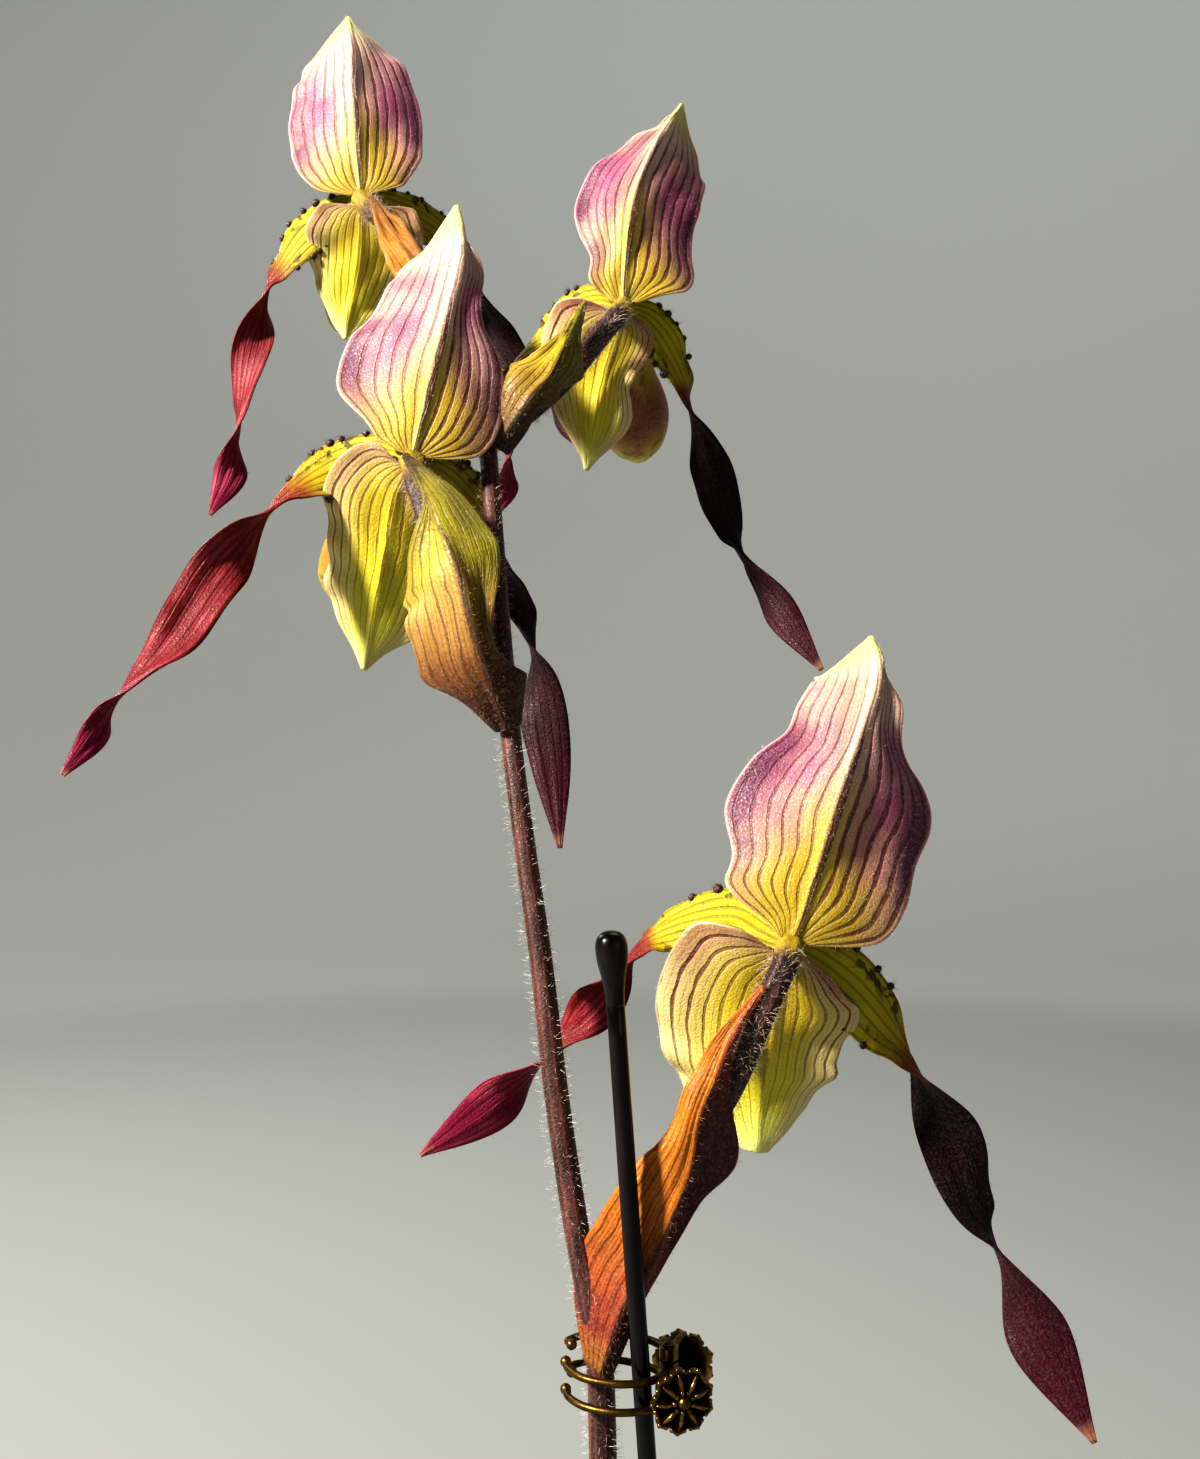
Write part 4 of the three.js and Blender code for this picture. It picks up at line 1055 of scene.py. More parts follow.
def stalk_finish(name, low, high, tip=None):
    """The skin of the scape and the ovaries: paler on its raised ribs, with streaks along it."""
    paint = alive(name, Subsurface_Weight=0.05)
    streaks = paint.noise(400, 3, stretch=(1, 1, 0.12))
    crest = paint.step(paint.value("crest"), -0.2, 0.9, 0.0, 0.45)
    paint.ground = paint.mix(paint.plus(paint.step(streaks, 0.3, 0.7, 0.0, 0.55), crest), low, high)
    if tip:
        paint.over(tip, paint.step(paint.value("along"), 0.84, 0.95))
    return paint.living(streaks, speckle=0.1)


def leaf_finish():
    """Deep green with close fine veins, a pale groove along the midrib, and a pale foot and tip."""
    paint = alive("leaf", Subsurface_Weight=0.1, Coat_Weight=0.15, Coat_Roughness=0.3)
    along = paint.value("along")
    paint.ground = paint.mix(paint.step(paint.noise(22, 4), 0.3, 0.7), "2C4A16", "4A6E22")
    fine = paint.veins(16.0, 0.3, 0.0, 0.6)["Veins"]
    paint.over("6E8C34", fine, 0.3)
    paint.over("90A84A", paint.step(paint.size(paint.value("across")), 0.015, 0.07, 0.8, 0.0))
    paint.over("A8A070", paint.step(along, 0.0, 0.06, 0.7, 0.0))
    paint.over("9A7A30", paint.step(along, 0.985, 1.0, 0.0, 0.8))
    return paint.living(fine, size=1200.0, relief=0.0002, speckle=0.08)


def pouch_finish():
    """Yellow, washed with maroon-brown toward the front, with a net of fine veins."""
    paint = alive("pouch", Coat_Weight=0.2, Coat_Roughness=0.25)
    place = paint.plus(paint.value("along"), paint.swing(paint.noise(110, 4), 0.5))
    lines = paint.noise(300, 2, stretch=(1, 1, 0.3))
    paint.ground = paint.ramp(place, STOPS["pouch"])
    paint.over("5E1E14", paint.step(lines, 0.52, 0.6, 0.0, 0.55))
    return paint.living(lines, relief=0.0002)


def plain_living(name, base, second, scale=300.0, **changes):
    """A living finish that drifts between two colours."""
    paint = alive(name, **changes)
    patches = paint.noise(scale, 4)
    paint.ground = paint.mix(paint.step(patches, 0.35, 0.65), base, second)
    return paint.living(patches, relief=0.00025)


def hair_finish(name, low, high):
    """Fine hairs that catch the light."""
    paint = Paint(name, Roughness=0.35, Sheen_Weight=0.2)
    return paint.done(Base_Color=paint.mix(paint.step(paint.noise(1500, 1), 0.35, 0.65), low, high))


def stake_finish():
    """Glossy dark brown lacquer, with faint scuffs along the rod."""
    paint = Paint("stake lacquer", Coat_Weight=0.1, Coat_Roughness=0.12, Specular_IOR_Level=0.3)
    scuffs = paint.noise(700, 4, stretch=(1, 1, 0.08))
    return paint.done(
        Base_Color=paint.mix(paint.step(scuffs, 0.5, 0.75), "080504", "1A0E0A"),
        Roughness=paint.step(scuffs, 0.35, 0.75, 0.16, 0.4),
        Normal=paint.bump(scuffs, 0.25, 0.0002),
    )


def bronze_finish():
    """Antique bronze: dark in its hollows and rubbed bright on its raised edges."""
    paint = Paint("antique bronze", Metallic=1.0)
    rubbed = paint.step(paint.add("ShaderNodeNewGeometry").outputs["Pointiness"], 0.5, 0.58)
    worn = paint.times(rubbed, paint.step(paint.noise(500, 4), 0.3, 0.6, 0.4, 1.0))
    ground = paint.mix(paint.step(paint.noise(900, 3), 0.35, 0.7), "0C0906", "241A0E")
    return paint.done(
        Base_Color=paint.mix(worn, ground, "8A6E3C"),
        Roughness=paint.step(worn, 0.0, 1.0, 0.5, 0.28),
        Normal=paint.bump(paint.noise(1600, 3), 0.3, 0.0002),
    )


def pot_finish():
    """Black moulded plastic, with patches of dust and a fine grain."""
    paint = Paint("pot plastic")
    dust = paint.times(paint.noise(35, 5), paint.step(paint.noise(12, 2), 0.4, 0.65))
    return paint.done(
        Base_Color=paint.mix(dust, "17181A", "4A4640"),
        Roughness=paint.step(paint.noise(160, 5), 0.3, 0.7, 0.32, 0.55),
        Normal=paint.bump(paint.noise(1400, 3), 0.2, 0.0003),
    )


def bark_finish():
    """Fir bark: red-brown layers, darker in the cracks, pale on broken edges."""
    paint = Paint("fir bark")
    layers = paint.noise(160, 6, stretch=(1, 0.35, 2.2))
    return paint.done(
        Base_Color=paint.ramp(layers, STOPS["bark"]),
        Roughness=paint.step(layers, 0.3, 0.7, 0.95, 0.75),
        Normal=paint.bump(layers, 0.9, 0.0015),
    )


# What repeats: hairs and bark chips, grown by geometry nodes

def node_tree(name, sizes, counts):
    """A geometry tree with a mesh going in and out, and named inputs for sizes, counts and a material."""
    group = bpy.data.node_groups.new(name, "GeometryNodeTree")
    kinds = {"Geometry": "Geometry", **dict.fromkeys(sizes, "Float"), **dict.fromkeys(counts, "Int")}
    for socket_name, kind in {**kinds, "Material": "Material"}.items():
        group.interface.new_socket(socket_name, in_out="INPUT", socket_type="NodeSocket" + kind)
    group.interface.new_socket("Geometry", in_out="OUTPUT", socket_type="NodeSocketGeometry")
    tree = Tree(group)
    return group, tree, tree.add("NodeGroupInput").outputs


def copies(tree, spots, shape, rotation, scale):
    """Real copies of a shape, one at each spot."""
    inputs = {"Points": spots["Points"], "Instance": shape, "Rotation": rotation, "Scale": scale}
    strewn = tree.add("GeometryNodeInstanceOnPoints", inputs).outputs[0]
    return tree.add("GeometryNodeRealizeInstances", {"Geometry": strewn}).outputs[0]


def come_out(tree, given, mesh):
    """Gives the grown mesh its material and lets it out of the tree."""
    inputs = {"Geometry": mesh, "Material": given["Material"]}
    tree.add("NodeGroupOutput", {"Geometry": tree.add("GeometryNodeSetMaterial", inputs).outputs[0]})


def hair_tree():
    """Bent tapering hairs over a surface, as dense as its "hair" value says, leaning at random."""
    sizes = ("Density", "Length", "Radius", "Bend", "Lean")
    group, tree, given = node_tree("hairs", sizes, ("Segments", "Seed"))
    amount = tree.add("GeometryNodeInputNamedAttribute", {"Name": "hair"}, data_type="FLOAT")
    density = tree.times(amount.outputs["Attribute"], given["Density"])
    inputs = {"Mesh": given["Geometry"], "Density": density, "Seed": given["Seed"]}
    spots = tree.add("GeometryNodeDistributePointsOnFaces", inputs).outputs
    inputs = {
        "Vertices": 3,
        "Side Segments": given["Segments"],
        "Radius Top": 0.0,
        "Radius Bottom": given["Radius"],
        "Depth": given["Length"],
    }
    cone = tree.add("GeometryNodeMeshCone", inputs).outputs["Mesh"]
    place = tree.add("GeometryNodeInputPosition").outputs[0]
    share = tree.math("DIVIDE", tree.add("ShaderNodeSeparateXYZ", {0: place}).outputs["Z"], given["Length"])
    sideways = tree.times(tree.times(share, share), tree.times(given["Bend"], given["Length"]))
    offset = tree.add("ShaderNodeCombineXYZ", {"X": sideways}).outputs[0]
    hair = tree.add("GeometryNodeSetPosition", {"Geometry": cone, "Offset": offset}).outputs[0]
    tilt = tree.chance(tree.times(given["Lean"], -1.0), given["Lean"], 3)
    turn = tree.add("ShaderNodeCombineXYZ", {"X": tilt, "Z": tree.chance(0.0, TURN, 5)}).outputs[0]
    inputs = {"Rotation": spots["Rotation"], "Rotate By": turn}
    rotation = tree.add("FunctionNodeRotateRotation", inputs, rotation_space="LOCAL").outputs[0]
    whole = copies(tree, spots, hair, rotation, tree.chance(0.45, 1.25, 9))
    come_out(tree, given, tree.add("GeometryNodeSetShadeSmooth", {"Geometry": whole}).outputs[0])
    return group


def chip_tree():
    """Flat rough chips strewn over a surface."""
    group, tree, given = node_tree("bark chips", ("Spacing", "Size", "Rough"), ("Seed",))
    inputs = {
        "Mesh": given["Geometry"],
        "Distance Min": given["Spacing"],
        "Density Max": 60000.0,
        "Seed": given["Seed"],
    }
    spots = tree.add("GeometryNodeDistributePointsOnFaces", inputs, distribute_method="POISSON").outputs
    long = given["Size"]
    sides = {"X": long, "Y": tree.times(long, 0.62), "Z": tree.times(long, 0.24)}
    extent = tree.add("ShaderNodeCombineXYZ", sides).outputs[0]
    inputs = {"Size": extent, "Vertices X": 6, "Vertices Y": 5, "Vertices Z": 3}
    chip = tree.add("GeometryNodeMeshCube", inputs).outputs["Mesh"]
    turn = tree.chance((-0.45, -0.45, 0.0), (0.45, 0.45, TURN), 2, "FLOAT_VECTOR")
    whole = copies(tree, spots, chip, turn, tree.chance(0.55, 1.2, 4))
    noise = tree.add("ShaderNodeTexNoise", {"Scale": 130.0, "Detail": 2.0}).outputs["Color"]
    middle = tree.add("ShaderNodeVectorMath", {0: noise, 1: (0.5, 0.5, 0.5)}, operation="SUBTRACT")
    inputs = {0: middle.outputs[0], "Scale": given["Rough"]}
    push = tree.add("ShaderNodeVectorMath", inputs, operation="SCALE").outputs[0]
    worn = tree.add("GeometryNodeSetPosition", {"Geometry": whole, "Offset": push}).outputs[0]
    come_out(tree, given, worn)
    return group


HAIR_TREE, CHIP_TREE = hair_tree(), chip_tree()


def grown(name, skin, group, **inputs):
    """The plain mesh that a geometry tree grows on a skin."""
    carrier = made(name + "_carrier", skin)
    modifier = carrier.modifiers.new("grow", "NODES")
    modifier.node_group = group
    for item in group.interface.items_tree:
        if item.in_out == "INPUT" and item.name in inputs:
            modifier[item.identifier] = inputs[item.name]
    thing = linked(name, evaluated(carrier))
    old = carrier.data
    bpy.data.objects.remove(carrier)
    bpy.data.meshes.remove(old)
    return thing


def hairs(name, skin, slot, kind, seed):
    """Grows a kind of hair on a skin, as close as its "hair" value says."""
    look = dict(zip(HAIR_COLUMNS, HAIR[kind]))
    thing = grown(
        name,
        skin,
        HAIR_TREE,
        Density=look["density"] * PER_SQUARE_CENTIMETRE,
        Length=look["length"] * MM,
        Radius=look["radius"] * MM,
        Bend=look["bend"],
        Lean=look["lean"],
        Segments=look["segments"],
        Seed=seed,
        Material=FINISH[look["finish"]],
    )
    placed(thing, slot)


# The plant

def scape_piece():
    """The scape, thicker where each ovary leaves it."""
    t = np.linspace(0, 1, 57)
    line, radii = spline(SCAPE["path"], t), spline(SCAPE["radius"], t)
    for bloom in BLOOMS.values():
        away = np.linalg.norm(line - np.array(bloom["ovary"][0]), axis=1)
        radii += SCAPE["swell"] * np.exp(-((away / SCAPE["swell_reach"]) ** 2))
    skin = tube(line, radii, 420, 24, ridges=0.035, ridge_count=9)
    skin.values["hair"] = np.ones(len(skin.points))
    placed(made("flower_scape", skin, FINISH["scape"]), "scape", "scape")
    hairs("scape_hairs", skin, "scape", "scape", 11)


def ovary_piece(letter, bloom, seed):
    """A ribbed hairy ovary, from the scape to the head."""
    skin = tube([*bloom["ovary"], bloom["head"]], OVARY["radius"], 110, 30, ridges=0.16, ridge_count=6)
    skin.values["hair"] = 1.0 - 0.9 * smooth(skin.values["along"], 0.93, 0.99)
    placed(made(f"ovary_{letter}_ribbed", skin, FINISH["ovary"]), "ovary", f"ovary_{letter}")
    hairs(f"ovary_{letter}_hairs", skin, "ovary", "ovary", seed)


def sepal_piece(kind, node, letter, bloom, seed):
    """A dorsal sepal or a synsepal, with down on its back: close on keel and margin, thin between."""
    skin = blade({**rooted(bloom, kind), "fold": FOLDS[kind]}, **BLADES[kind])
    across, half = skin.values["across"], skin.values["half"]
    keel = np.exp(-((across * half) ** 2))
    margin = smooth(np.abs(across), 0.975, 1.0)
    skin.values["hair"] = (0.22 + 0.9 * keel) * (1 - skin.values["inner"]) + 1.6 * margin
    placed(made(f"{kind}_{letter}_veined", skin, FINISH[kind]), kind, f"{node}_{letter}")
    hairs(f"{kind}_{letter}_down", skin, kind, kind, seed)


def petal_pieces(letter, side, bloom, seed):
    """A long twisted petal with lashes on its margins, and hairy warts along its foot."""
    key = f"petal_{side}"
    spec = rooted(bloom, key)
    skin = blade(spec, **BLADES["petal"])
    across, along = skin.values["across"], skin.values["along"]
    skin.values["hair"] = smooth(np.abs(across), 0.94, 1.0) * smooth(along, 0.04, 0.1)
    usual = FOOT["usual"]
    skin.values["tone"] = np.interp(along, [0, FOOT.get(f"{side}_{letter}", usual), 1], [0, usual, 1])
    placed(made(f"{key}_{letter}_ribbon", skin, FINISH[key]), "petal", f"{key}_{letter}")
    hairs(f"{key}_{letter}_lashes", skin, "petal", "lashes", seed)
    warts = petal_warts(spec)
    placed(made(f"{key}_{letter}_warts", warts, FINISH["wart"]), "petal")
    warts.values["hair"] = np.ones(len(warts.points))
    hairs(f"{key}_{letter}_tufts", warts, "petal", "tufts", seed + 1)


def petal_warts(spec):
    """Dark raised warts along both margins of a petal's foot."""
    skins = []
    for edge, places in WARTS.items():
        for place in places:
            t, u = np.array([place + rng.uniform(-0.008, 0.008)]), np.array([edge])
            centre = blade_sheet(spec, t, u)[0][0]
            skins.append(ball(centre, rng.uniform(0.65, 1.1), 10, scale=(1, 0.85, 1)))
    return joined(skins)


def bract_piece(letter, bloom, seed):
    """A hood-shaped bract, hairiest on its keel, at its foot and on its margins."""
    skin = blade(bloom["bract"], crumple=BRACTS[letter]["crumple"], **BLADES["bract"])
    along, across, half = (skin.values[k] for k in ("along", "across", "half"))
    keel = np.exp(-((across * half / 1.3) ** 2))
    foot = 1 - smooth(along, 0.08, 0.4)
    margin = smooth(np.abs(across), 0.97, 1.0)
    skin.values["hair"] = (0.12 + 0.9 * keel + 0.7 * foot) * (1 - skin.values["inner"]) + 0.9 * margin
    placed(made(f"bract_{letter}_hood", skin, bract_finish(letter)), "bract", f"bract_{letter}")
    hairs(f"bract_{letter}_hairs", skin, "bract", "bract", seed)


def pouch_piece(letter, bloom):
    """A slipper-shaped cup with a flared rim, hollow inside, hung from the head by its claw."""
    spec, wide = bloom["pouch"], bloom["pouch"]["radius"]
    head, mouth, bottom = (np.array(p, float) for p in (bloom["head"], spec["mouth"], spec["bottom"]))
    axis = unit(bottom - mouth)
    length = np.linalg.norm(bottom - mouth)
    side = unit(np.array([1.0, 0, 0]) - axis * axis[0])
    other = np.cross(axis, side)
    rows, sides = 44, 44
    cos, sin = np.cos(around(sides)), np.sin(around(sides))
    ribs = np.cos(POUCH["ribs"] * around(sides))

    def shell(inset, places):
        rings = []
        for s in places:
            reach = spline(POUCH["profile"], s) * wide - inset
            toe = -POUCH["toe_rise"] * np.clip(-sin, 0, 1) * (1 - s) ** 3
            lift = toe + POUCH["ear_drop"] * np.abs(cos) ** 3 * (1 - s) ** 4
            centre = mouth + axis * (s * (length - inset))
            rib = 1 + POUCH["rib_height"] * ribs * s
            across, deep = cos * reach * rib, sin * reach * POUCH["depth"] * rib
            ring = centre + np.outer(across, side) + np.outer(deep, other)
            rings.append(ring + np.outer(lift, axis))
        return rings

    places = np.linspace(0, 1, rows)
    outer, inner = shell(0, places[::-1]), shell(POUCH["wall"], places)
    held = np.concatenate([np.repeat(places[::-1], sides), np.repeat(places, sides)])
    cup = ringed(outer + inner, {"along": held})
    root = head + np.array([0, 0.85, -0.53]) * 2.4
    rim = mouth + axis * 0.12 * length
    to_head = head - rim
    to_head = unit(to_head - axis * (to_head @ axis))
    run = [root, (root + rim + to_head * wide * 0.6) / 2, rim + to_head * wide * 0.58]
    claw = tube(run, POUCH["claw"], 14, 16)
    claw.values["along"] = np.zeros(len(claw.points))
    slipper = made(f"pouch_{letter}_slipper", joined([cup, claw]), FINISH["pouch"])
    placed(slipper, "pouch", f"pouch_{letter}")


def column_piece(letter, bloom):
    """The short column with its heart-shaped shield and two pollen knobs."""
    x, y, z = bloom["head"]
    neck = tube([[x, y + deep, z + up] for deep, up in COLUMN["neck"]], COLUMN["radius"], 12, 16)
    centre, half = [x, y + 6.7, z + 3], COLUMN["shield"]
    shield = ball(centre, 1, 28, scale=half)
    across, deep, up = ((shield.points - centre) / half).T
    notch = np.exp(-((across / 0.22) ** 2)) * smooth(up, 0.2, 0.9)
    shield.points[:, 2] -= 1.3 * notch
    shield.points[:, 1] -= 0.5 * np.exp(-((across / 0.3) ** 2 + ((up - 0.1) / 0.3) ** 2)) * (deep > 0)
    knobs = [ball([x + k * 2.4, y + 5.0, z + 1.4], 0.85, 12) for k in (-1, 1)]
    whole = joined([neck, shield, *knobs])
    placed(made(f"column_{letter}_shield", whole, FINISH["column"]), "column", f"column_{letter}")


def leaf_piece(index, leaf):
    """A strap leaf that arches out of the crown."""
    angle = math.radians(leaf["heading"])
    heading = np.array([math.cos(angle), math.sin(angle), 0])
    start, reach, rise, fall, width = (leaf[k] for k in ("start", "reach", "rise", "fall", "width"))

    def point(out, up):
        return list(np.array([CROWN["x"], CROWN["y"], leaf["base"] + up]) + heading * out)

    spec = {
        "mid": [
            point(start - 3.5, -1.5),
            point(start + reach * 0.12, rise * 0.42),
            point(start + reach * 0.32, rise * 0.86),
            point(start + reach * 0.55, rise),
            point(start + reach * 0.79, rise - fall * 0.32),
            point(start + reach, rise - fall),
        ],
        "width": [5.5, width * 0.7, width * 0.95, width, width * 0.78, 1.2],
        "fold": FOLDS["leaf"],
        "toward": [0, 0, -1],
    }
    skin = blade(spec, **BLADES["leaf"])
    placed(made(f"leaf_{index}_strap", skin, FINISH["leaf"]), "leaf", f"leaf_{index}")


def crown_piece():
    """The crown: leaf feet that clasp each other round the scape's foot."""
    core = lathe(CROWN["profile"], 40, CROWN["x"], CROWN["y"])
    local = core.points[:, :2] - [CROWN["x"], CROWN["y"]]
    turn = np.arctan2(local[:, 1], local[:, 0])
    swell = 1 - 0.07 * np.abs(np.sin(3 * turn + 0.04 * core.points[:, 2])) ** 0.5
    core.points[:, :2] = local * swell[:, None] + [CROWN["x"], CROWN["y"]]
    placed(made("crown_sheaths", core, FINISH["crown"]), "crown", "crown")


# The pot, the stake and the clip

def pot_piece():
    """The pot: a turned wall with a rolled rim and drain holes cut through its floor."""
    height, under = POT["height"], POT["height"] - POT["rim_height"]
    base, top, rim, wall, floor = (POT[k] for k in ("base", "top", "rim", "wall", "floor"))
    profile = [
        [8, 0], [base - 1.5, 0], [base - 0.4, 0.4], [base, 1.4],
        [top - 0.3, under - 1.5], [top, under - 0.4], [rim - 1, under + 0.4], [rim - 0.3, under + 1],
        [rim - 0.1, under + 2.4], [rim, height - 2.2], [rim - 0.2, height - 1], [rim - 0.9, height - 0.2],
        [rim - 1.6, height], [rim - wall + 0.2, height - 0.3], [rim - wall, height - 1.2],
        [top - wall, under], [base - wall, floor + 0.6], [base - wall - 0.6, floor], [8, floor],
    ]
    pot = made("pot_moulded", lathe(profile, 128), FINISH["pot"])
    holes = []
    for k in range(DRAINS["count"]):
        angle = k / DRAINS["count"] * TURN
        at = [DRAINS["ring"] * math.cos(angle), DRAINS["ring"] * math.sin(angle)]
        holes.append(lathe([[DRAINS["radius"], -2], [DRAINS["radius"], floor + 2]], 28, *at))
    cutter = made("drain_cutter", joined(holes))
    cut = pot.modifiers.new("drains", "BOOLEAN")
    cut.operation, cut.object, cut.solver = "DIFFERENCE", cutter, "EXACT"
    mesh = evaluated(pot)
    pot.modifiers.clear()
    pot.data = mesh
    bpy.data.objects.remove(cutter)
    placed(sharp(pot, 50), "pot", "pot")


def bark_pieces():
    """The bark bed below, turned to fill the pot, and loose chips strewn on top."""
    floor, under, gap = POT["floor"], POT["height"] - POT["rim_height"], POT["wall"] + BARK["wall_gap"]
    low, high = POT["base"], POT["top"]
    sides = [[low + (high - low) * (z - floor) / (under - floor) - gap, z] for z in BARK["levels"]]
    bed = lathe(sides + BARK["mound"], 96)
    x, y, z = bed.points.T
    bed.points[:, 2] = z + BARK["heave"] * ripples(x / 60, y / 60, 3) * smooth(z, 90, 95)
    placed(made("bark_bed", bed, FINISH["bark"]), "bark", "bark")
    top = Skin(np.array(turned(BARK["strewn"], 48)), bands(len(BARK["strewn"]), 48))
    sizes = {"Spacing": BARK["spacing"] * MM, "Size": BARK["chip"] * MM, "Rough": BARK["rough"] * MM}
    chips = grown("bark_chips", top, CHIP_TREE, **sizes, Seed=4, Material=FINISH["bark"])
    placed(chips, "bark")


def stake_pieces():
    """The rod and the ball cap on its end."""
    top, foot = np.array(STAKE["top"]), np.array(STAKE["foot"])
    rod = tube([foot, (foot + top) / 2, top], [STAKE["radius"]] * 3, 60, 28, dome=0.4)
    placed(made("stake_rod", rod, FINISH["stake"]), "stake", "stake")
    cap = leaned(lathe(spline(BALL, np.linspace(0, 1, 40)), 36), foot, top)
    placed(made("stake_cap", cap, FINISH["stake"]), "stake", "stake_ball")


def clip_half(which):
    """One half of the clip: two ball-tipped prongs on barrels, and a beaded flower pad."""
    spec = CLIP[which]
    prong, barrel, bore = CLIP["prong"], CLIP["barrel"], CLIP["pin_radius"] + 0.3
    away = math.copysign(1, spec["pad"][1])
    near, tip = spec["bow"][-2:]
    collar = [near[k] * 0.35 + tip[k] * 0.65 for k in (0, 1)]
    arm = [[0, 0.8 * away], [v / 2 for v in spec["pad"]], spec["pad"]]
    skins = []
    for height in spec["heights"]:
        at = CLIP["level"] + height
        skins += [
            lathe([[bore, at - 1], [barrel, at - 1], [barrel, at + 1], [bore, at + 1]], 24),
            tube([[x, y, at] for x, y in spec["bow"]], [prong * 1.15, prong, prong, prong * 0.95], 60, 14),
            ball([*tip, at], prong * 1.5, 16),
            ball([*collar, at], prong * 1.25, 12, scale=(1, 1, 0.9)),
            tube([[x, y, at] for x, y in arm], [0.75] * 3, 10, 10),
        ]
    whole = joined(skins + flower_pad(spec, away))
    whole.points[:, :2] += CLIP["pin"]
    return whole


def flower_pad(spec, away):
    """A pad like a flower: cupped petals with ribs, a beaded margin and beads round the centre."""
    reach, petals = CLIP["pad_reach"], CLIP["petals"]
    rows, sides = 14, petals * 14
    angles = around(sides)
    petal = np.abs(np.sin(petals * angles / 2))
    rings = []
    for r in np.concatenate([np.linspace(0.08, 1, rows), np.linspace(1, 0.08, 6)]):
        size = reach * r * (0.84 + 0.16 * petal * r)
        cup = 0.35 * petal**0.5 * math.sin(math.pi * r)
        depth = 0.55 + cup + 0.18 * np.cos(3 * petals * angles) * r * (1 - r)
        if len(rings) >= rows:
            depth = np.full(sides, -0.45)
        rings.append(np.stack([size * np.cos(angles), depth, size * np.sin(angles)], -1))
    skins = [ringed(rings)]
    for k in range(petals * 3):
        angle = (k + 0.5) / (petals * 3) * TURN
        r = reach * (0.84 + 0.16 * abs(math.sin(petals * angle / 2))) * 0.97
        skins.append(ball([r * math.cos(angle), 0.35, r * math.sin(angle)], 0.42, 8))
    for k in range(petals):
        angle = k / petals * TURN + math.pi / petals
        direction = np.array([math.cos(angle), 0, math.sin(angle)])
        rib = [direction * reach * s + [0, lift, 0] for s, lift in ((0.3, 0.9), (0.55, 1.15), (0.82, 0.75))]
        skins += [tube(rib, [0.34, 0.42, 0.22], 10, 8), ball(direction * reach * 0.3 + [0, 1.0, 0], 0.5, 8)]
    skins.append(ball([0, 1.1, 0], 1.15, 16, scale=(1, 0.9, 1)))
    cos, sin = math.cos(spec["lean"]), math.sin(spec["lean"])
    pad_x, pad_y = spec["pad"]
    for skin in skins:
        x, y, z = skin.points[:, 0], skin.points[:, 1] * away, skin.points[:, 2] + CLIP["level"]
        skin.points = np.stack([x * cos - y * sin + pad_x, x * sin + y * cos + pad_y, z], -1)
        skin.outward()
    return skins


def clip_pieces():
    """The two halves, the riveted pin that they turn on, and the spring coiled on it."""
    bronze = FINISH["bronze"]
    near = sharp(made("clip_near_prongs", clip_half("near"), bronze))
    placed(near, "bronze", "clip_near_half", body="clip_jaw")
    placed(sharp(made("clip_far_prongs", clip_half("far"), bronze)), "bronze", "clip_far_half")
    (x, y), level, reach, radius = (CLIP[k] for k in ("pin", "level", "pin_reach", "pin_radius"))
    low, high = level - reach, level + reach
    ends = [[radius * 0.6, low], [radius, low + 0.3], [radius, high - 0.3], [radius * 0.6, high]]
    pin = lathe(ends, 20, x, y)
    heads = [ball([x, y, at], radius * 1.35, 14, scale=(1, 1, 0.6)) for at in (low, high)]
    placed(sharp(made("clip_pin_riveted", joined([pin, *heads]), bronze)), "bronze", "clip_pin")
    spring, t = CLIP["spring"], np.linspace(0, 1, 60)
    angle, ring = TURN * spring["turns"] * t, spring["radius"]
    heights = level - spring["below"] + spring["height"] * t
    coil = np.stack([x + ring * np.cos(angle), y + ring * np.sin(angle), heights], -1)
    wire = tube(coil, [spring["wire"]] * 3, 150, 10)
    placed(made("clip_spring_coil", wire, bronze), "bronze", "clip_spring")


# The studio

def studio():
    """A pale bowl-shaped floor, a sun-like key from the upper left, and soft fills."""
    rows, sides = 60, 96
    profile = spline(STUDIO["bowl"], np.linspace(0, 1, rows)) - [0, STUDIO["drop"]]
    bowl = Skin(np.array(turned(profile, sides)), bands(rows, sides))
    paint = Paint("studio floor", Roughness=0.95, Specular_IOR_Level=0.1)
    floor = made("studio_floor", bowl, paint.done(Base_Color=colour(STUDIO["floor"])))
    world = bpy.data.worlds.new("studio air")
    bpy.context.scene.world = world
    world.use_nodes = True
    air = world.node_tree.nodes["Background"].inputs
    air["Color"].default_value = colour(STUDIO["air"])
    air["Strength"].default_value = STUDIO["air_strength"]
    for name, place, target, power, size, tint in STUDIO["lamps"]:
        light = bpy.data.lights.new(name, "AREA")
        light.energy, light.size, light.color = power, size, colour(tint)[:3]
        thing = linked(name, light)
        thing.location = place
        aim = Vector([b - a for a, b in zip(place, target)])
        thing.rotation_euler = aim.to_track_quat("-Z", "Y").to_euler()


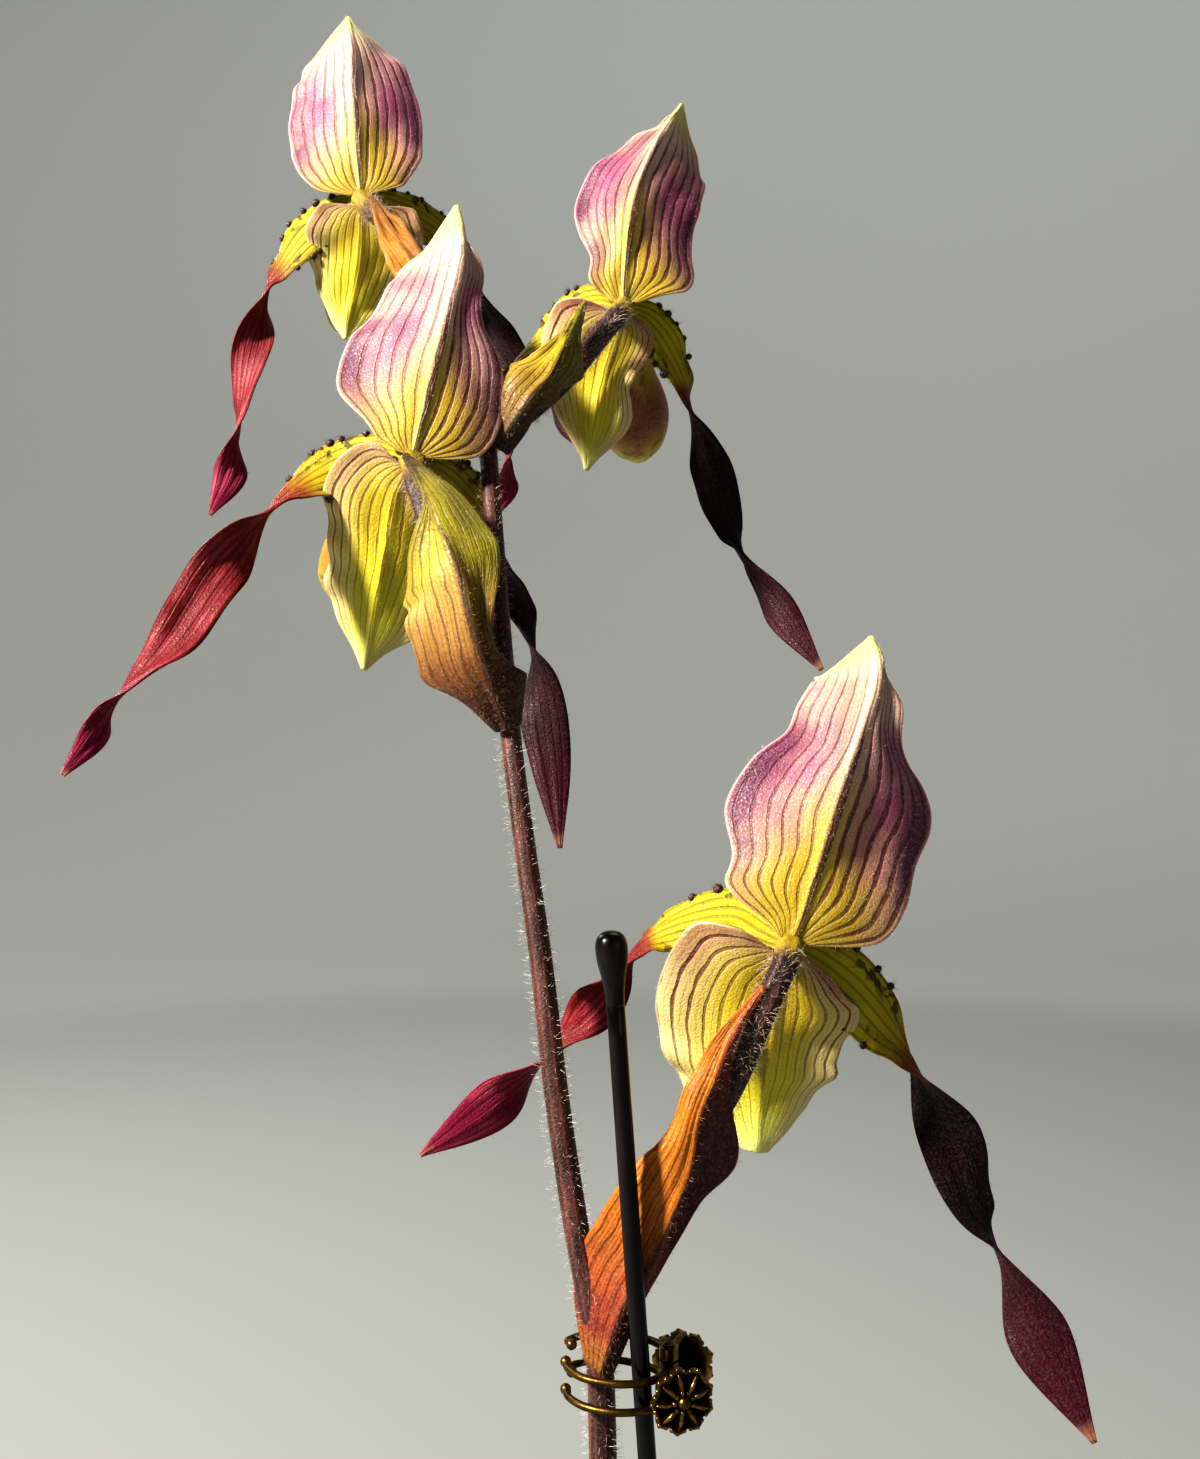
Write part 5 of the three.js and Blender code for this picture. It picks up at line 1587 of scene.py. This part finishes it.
def camera():
    """The photograph's view: level, along +Y."""
    lens = bpy.data.cameras.new("camera")
    lens.sensor_width = CAMERA["sensor"]
    lens.lens = CAMERA["focal"] / max(CAMERA["image"]) * CAMERA["sensor"]
    lens.clip_start, lens.clip_end = 0.01, 20
    eye = linked("camera", lens)
    eye.location = [v * MM for v in CAMERA["place"]]
    eye.rotation_euler = (math.pi / 2, 0, 0)
    scene = bpy.context.scene
    scene.camera = eye
    scene.view_settings.view_transform = "Standard"
    scene.view_settings.look = "High Contrast"
    scene.cycles.max_bounces = 4
    scene.cycles.diffuse_bounces = 1


FINISH = {
    "scape": stalk_finish("scape skin", "22090C", "6E3E36"),
    "ovary": stalk_finish("ovary skin", "100404", "4E2624", tip="9A8008"),
    "dorsal": dorsal_finish(),
    "synsepal": synsepal_finish(),
    # The left and right petals are one colour: the left finish is painted lighter, with pink ridges as
    # painted highlight, and the right one near black as painted shade
    "petal_left": petal_finish("left", "6A0A14", "801040", "C85A6C"),
    "petal_right": petal_finish("right", "160206", "3A0418", "400414"),
    "pouch": pouch_finish(),
    "column": plain_living("column", "C8C23A", "9AA030"),
    "wart": plain_living("petal wart", "1E0808", "3A1010", Subsurface_Weight=0.0),
    "leaf": leaf_finish(),
    "crown": plain_living("leaf feet", "6E7A34", "A8A262", 90.0),
    "pale hairs": hair_finish("pale hairs", "E8D8C4", "FFF8EC"),
    "ovary hairs": hair_finish("ovary hairs", "B8907A", "F4E8D8"),
    "bract hairs": hair_finish("bract hairs", "5A3018", "D8B080"),
    "dark hairs": hair_finish("dark hairs", "1E0A0A", "4A2018"),
    "stake": stake_finish(),
    "bronze": bronze_finish(),
    "pot": pot_finish(),
    "bark": bark_finish(),
}

camera()
studio()
scape_piece()
for order, (letter, bloom) in enumerate(BLOOMS.items(), 1):
    seed = 100 * order
    ovary_piece(letter, bloom, seed)
    sepal_piece("dorsal", "dorsal_sepal", letter, bloom, seed + 10)
    sepal_piece("synsepal", "synsepal", letter, bloom, seed + 20)
    petal_pieces(letter, "left", bloom, seed + 30)
    petal_pieces(letter, "right", bloom, seed + 40)
    pouch_piece(letter, bloom)
    column_piece(letter, bloom)
    bract_piece(letter, bloom, seed + 50)
for index, leaf in enumerate(LEAVES, 1):
    leaf_piece(index, leaf)
crown_piece()
pot_piece()
bark_pieces()
stake_pieces()
clip_pieces()
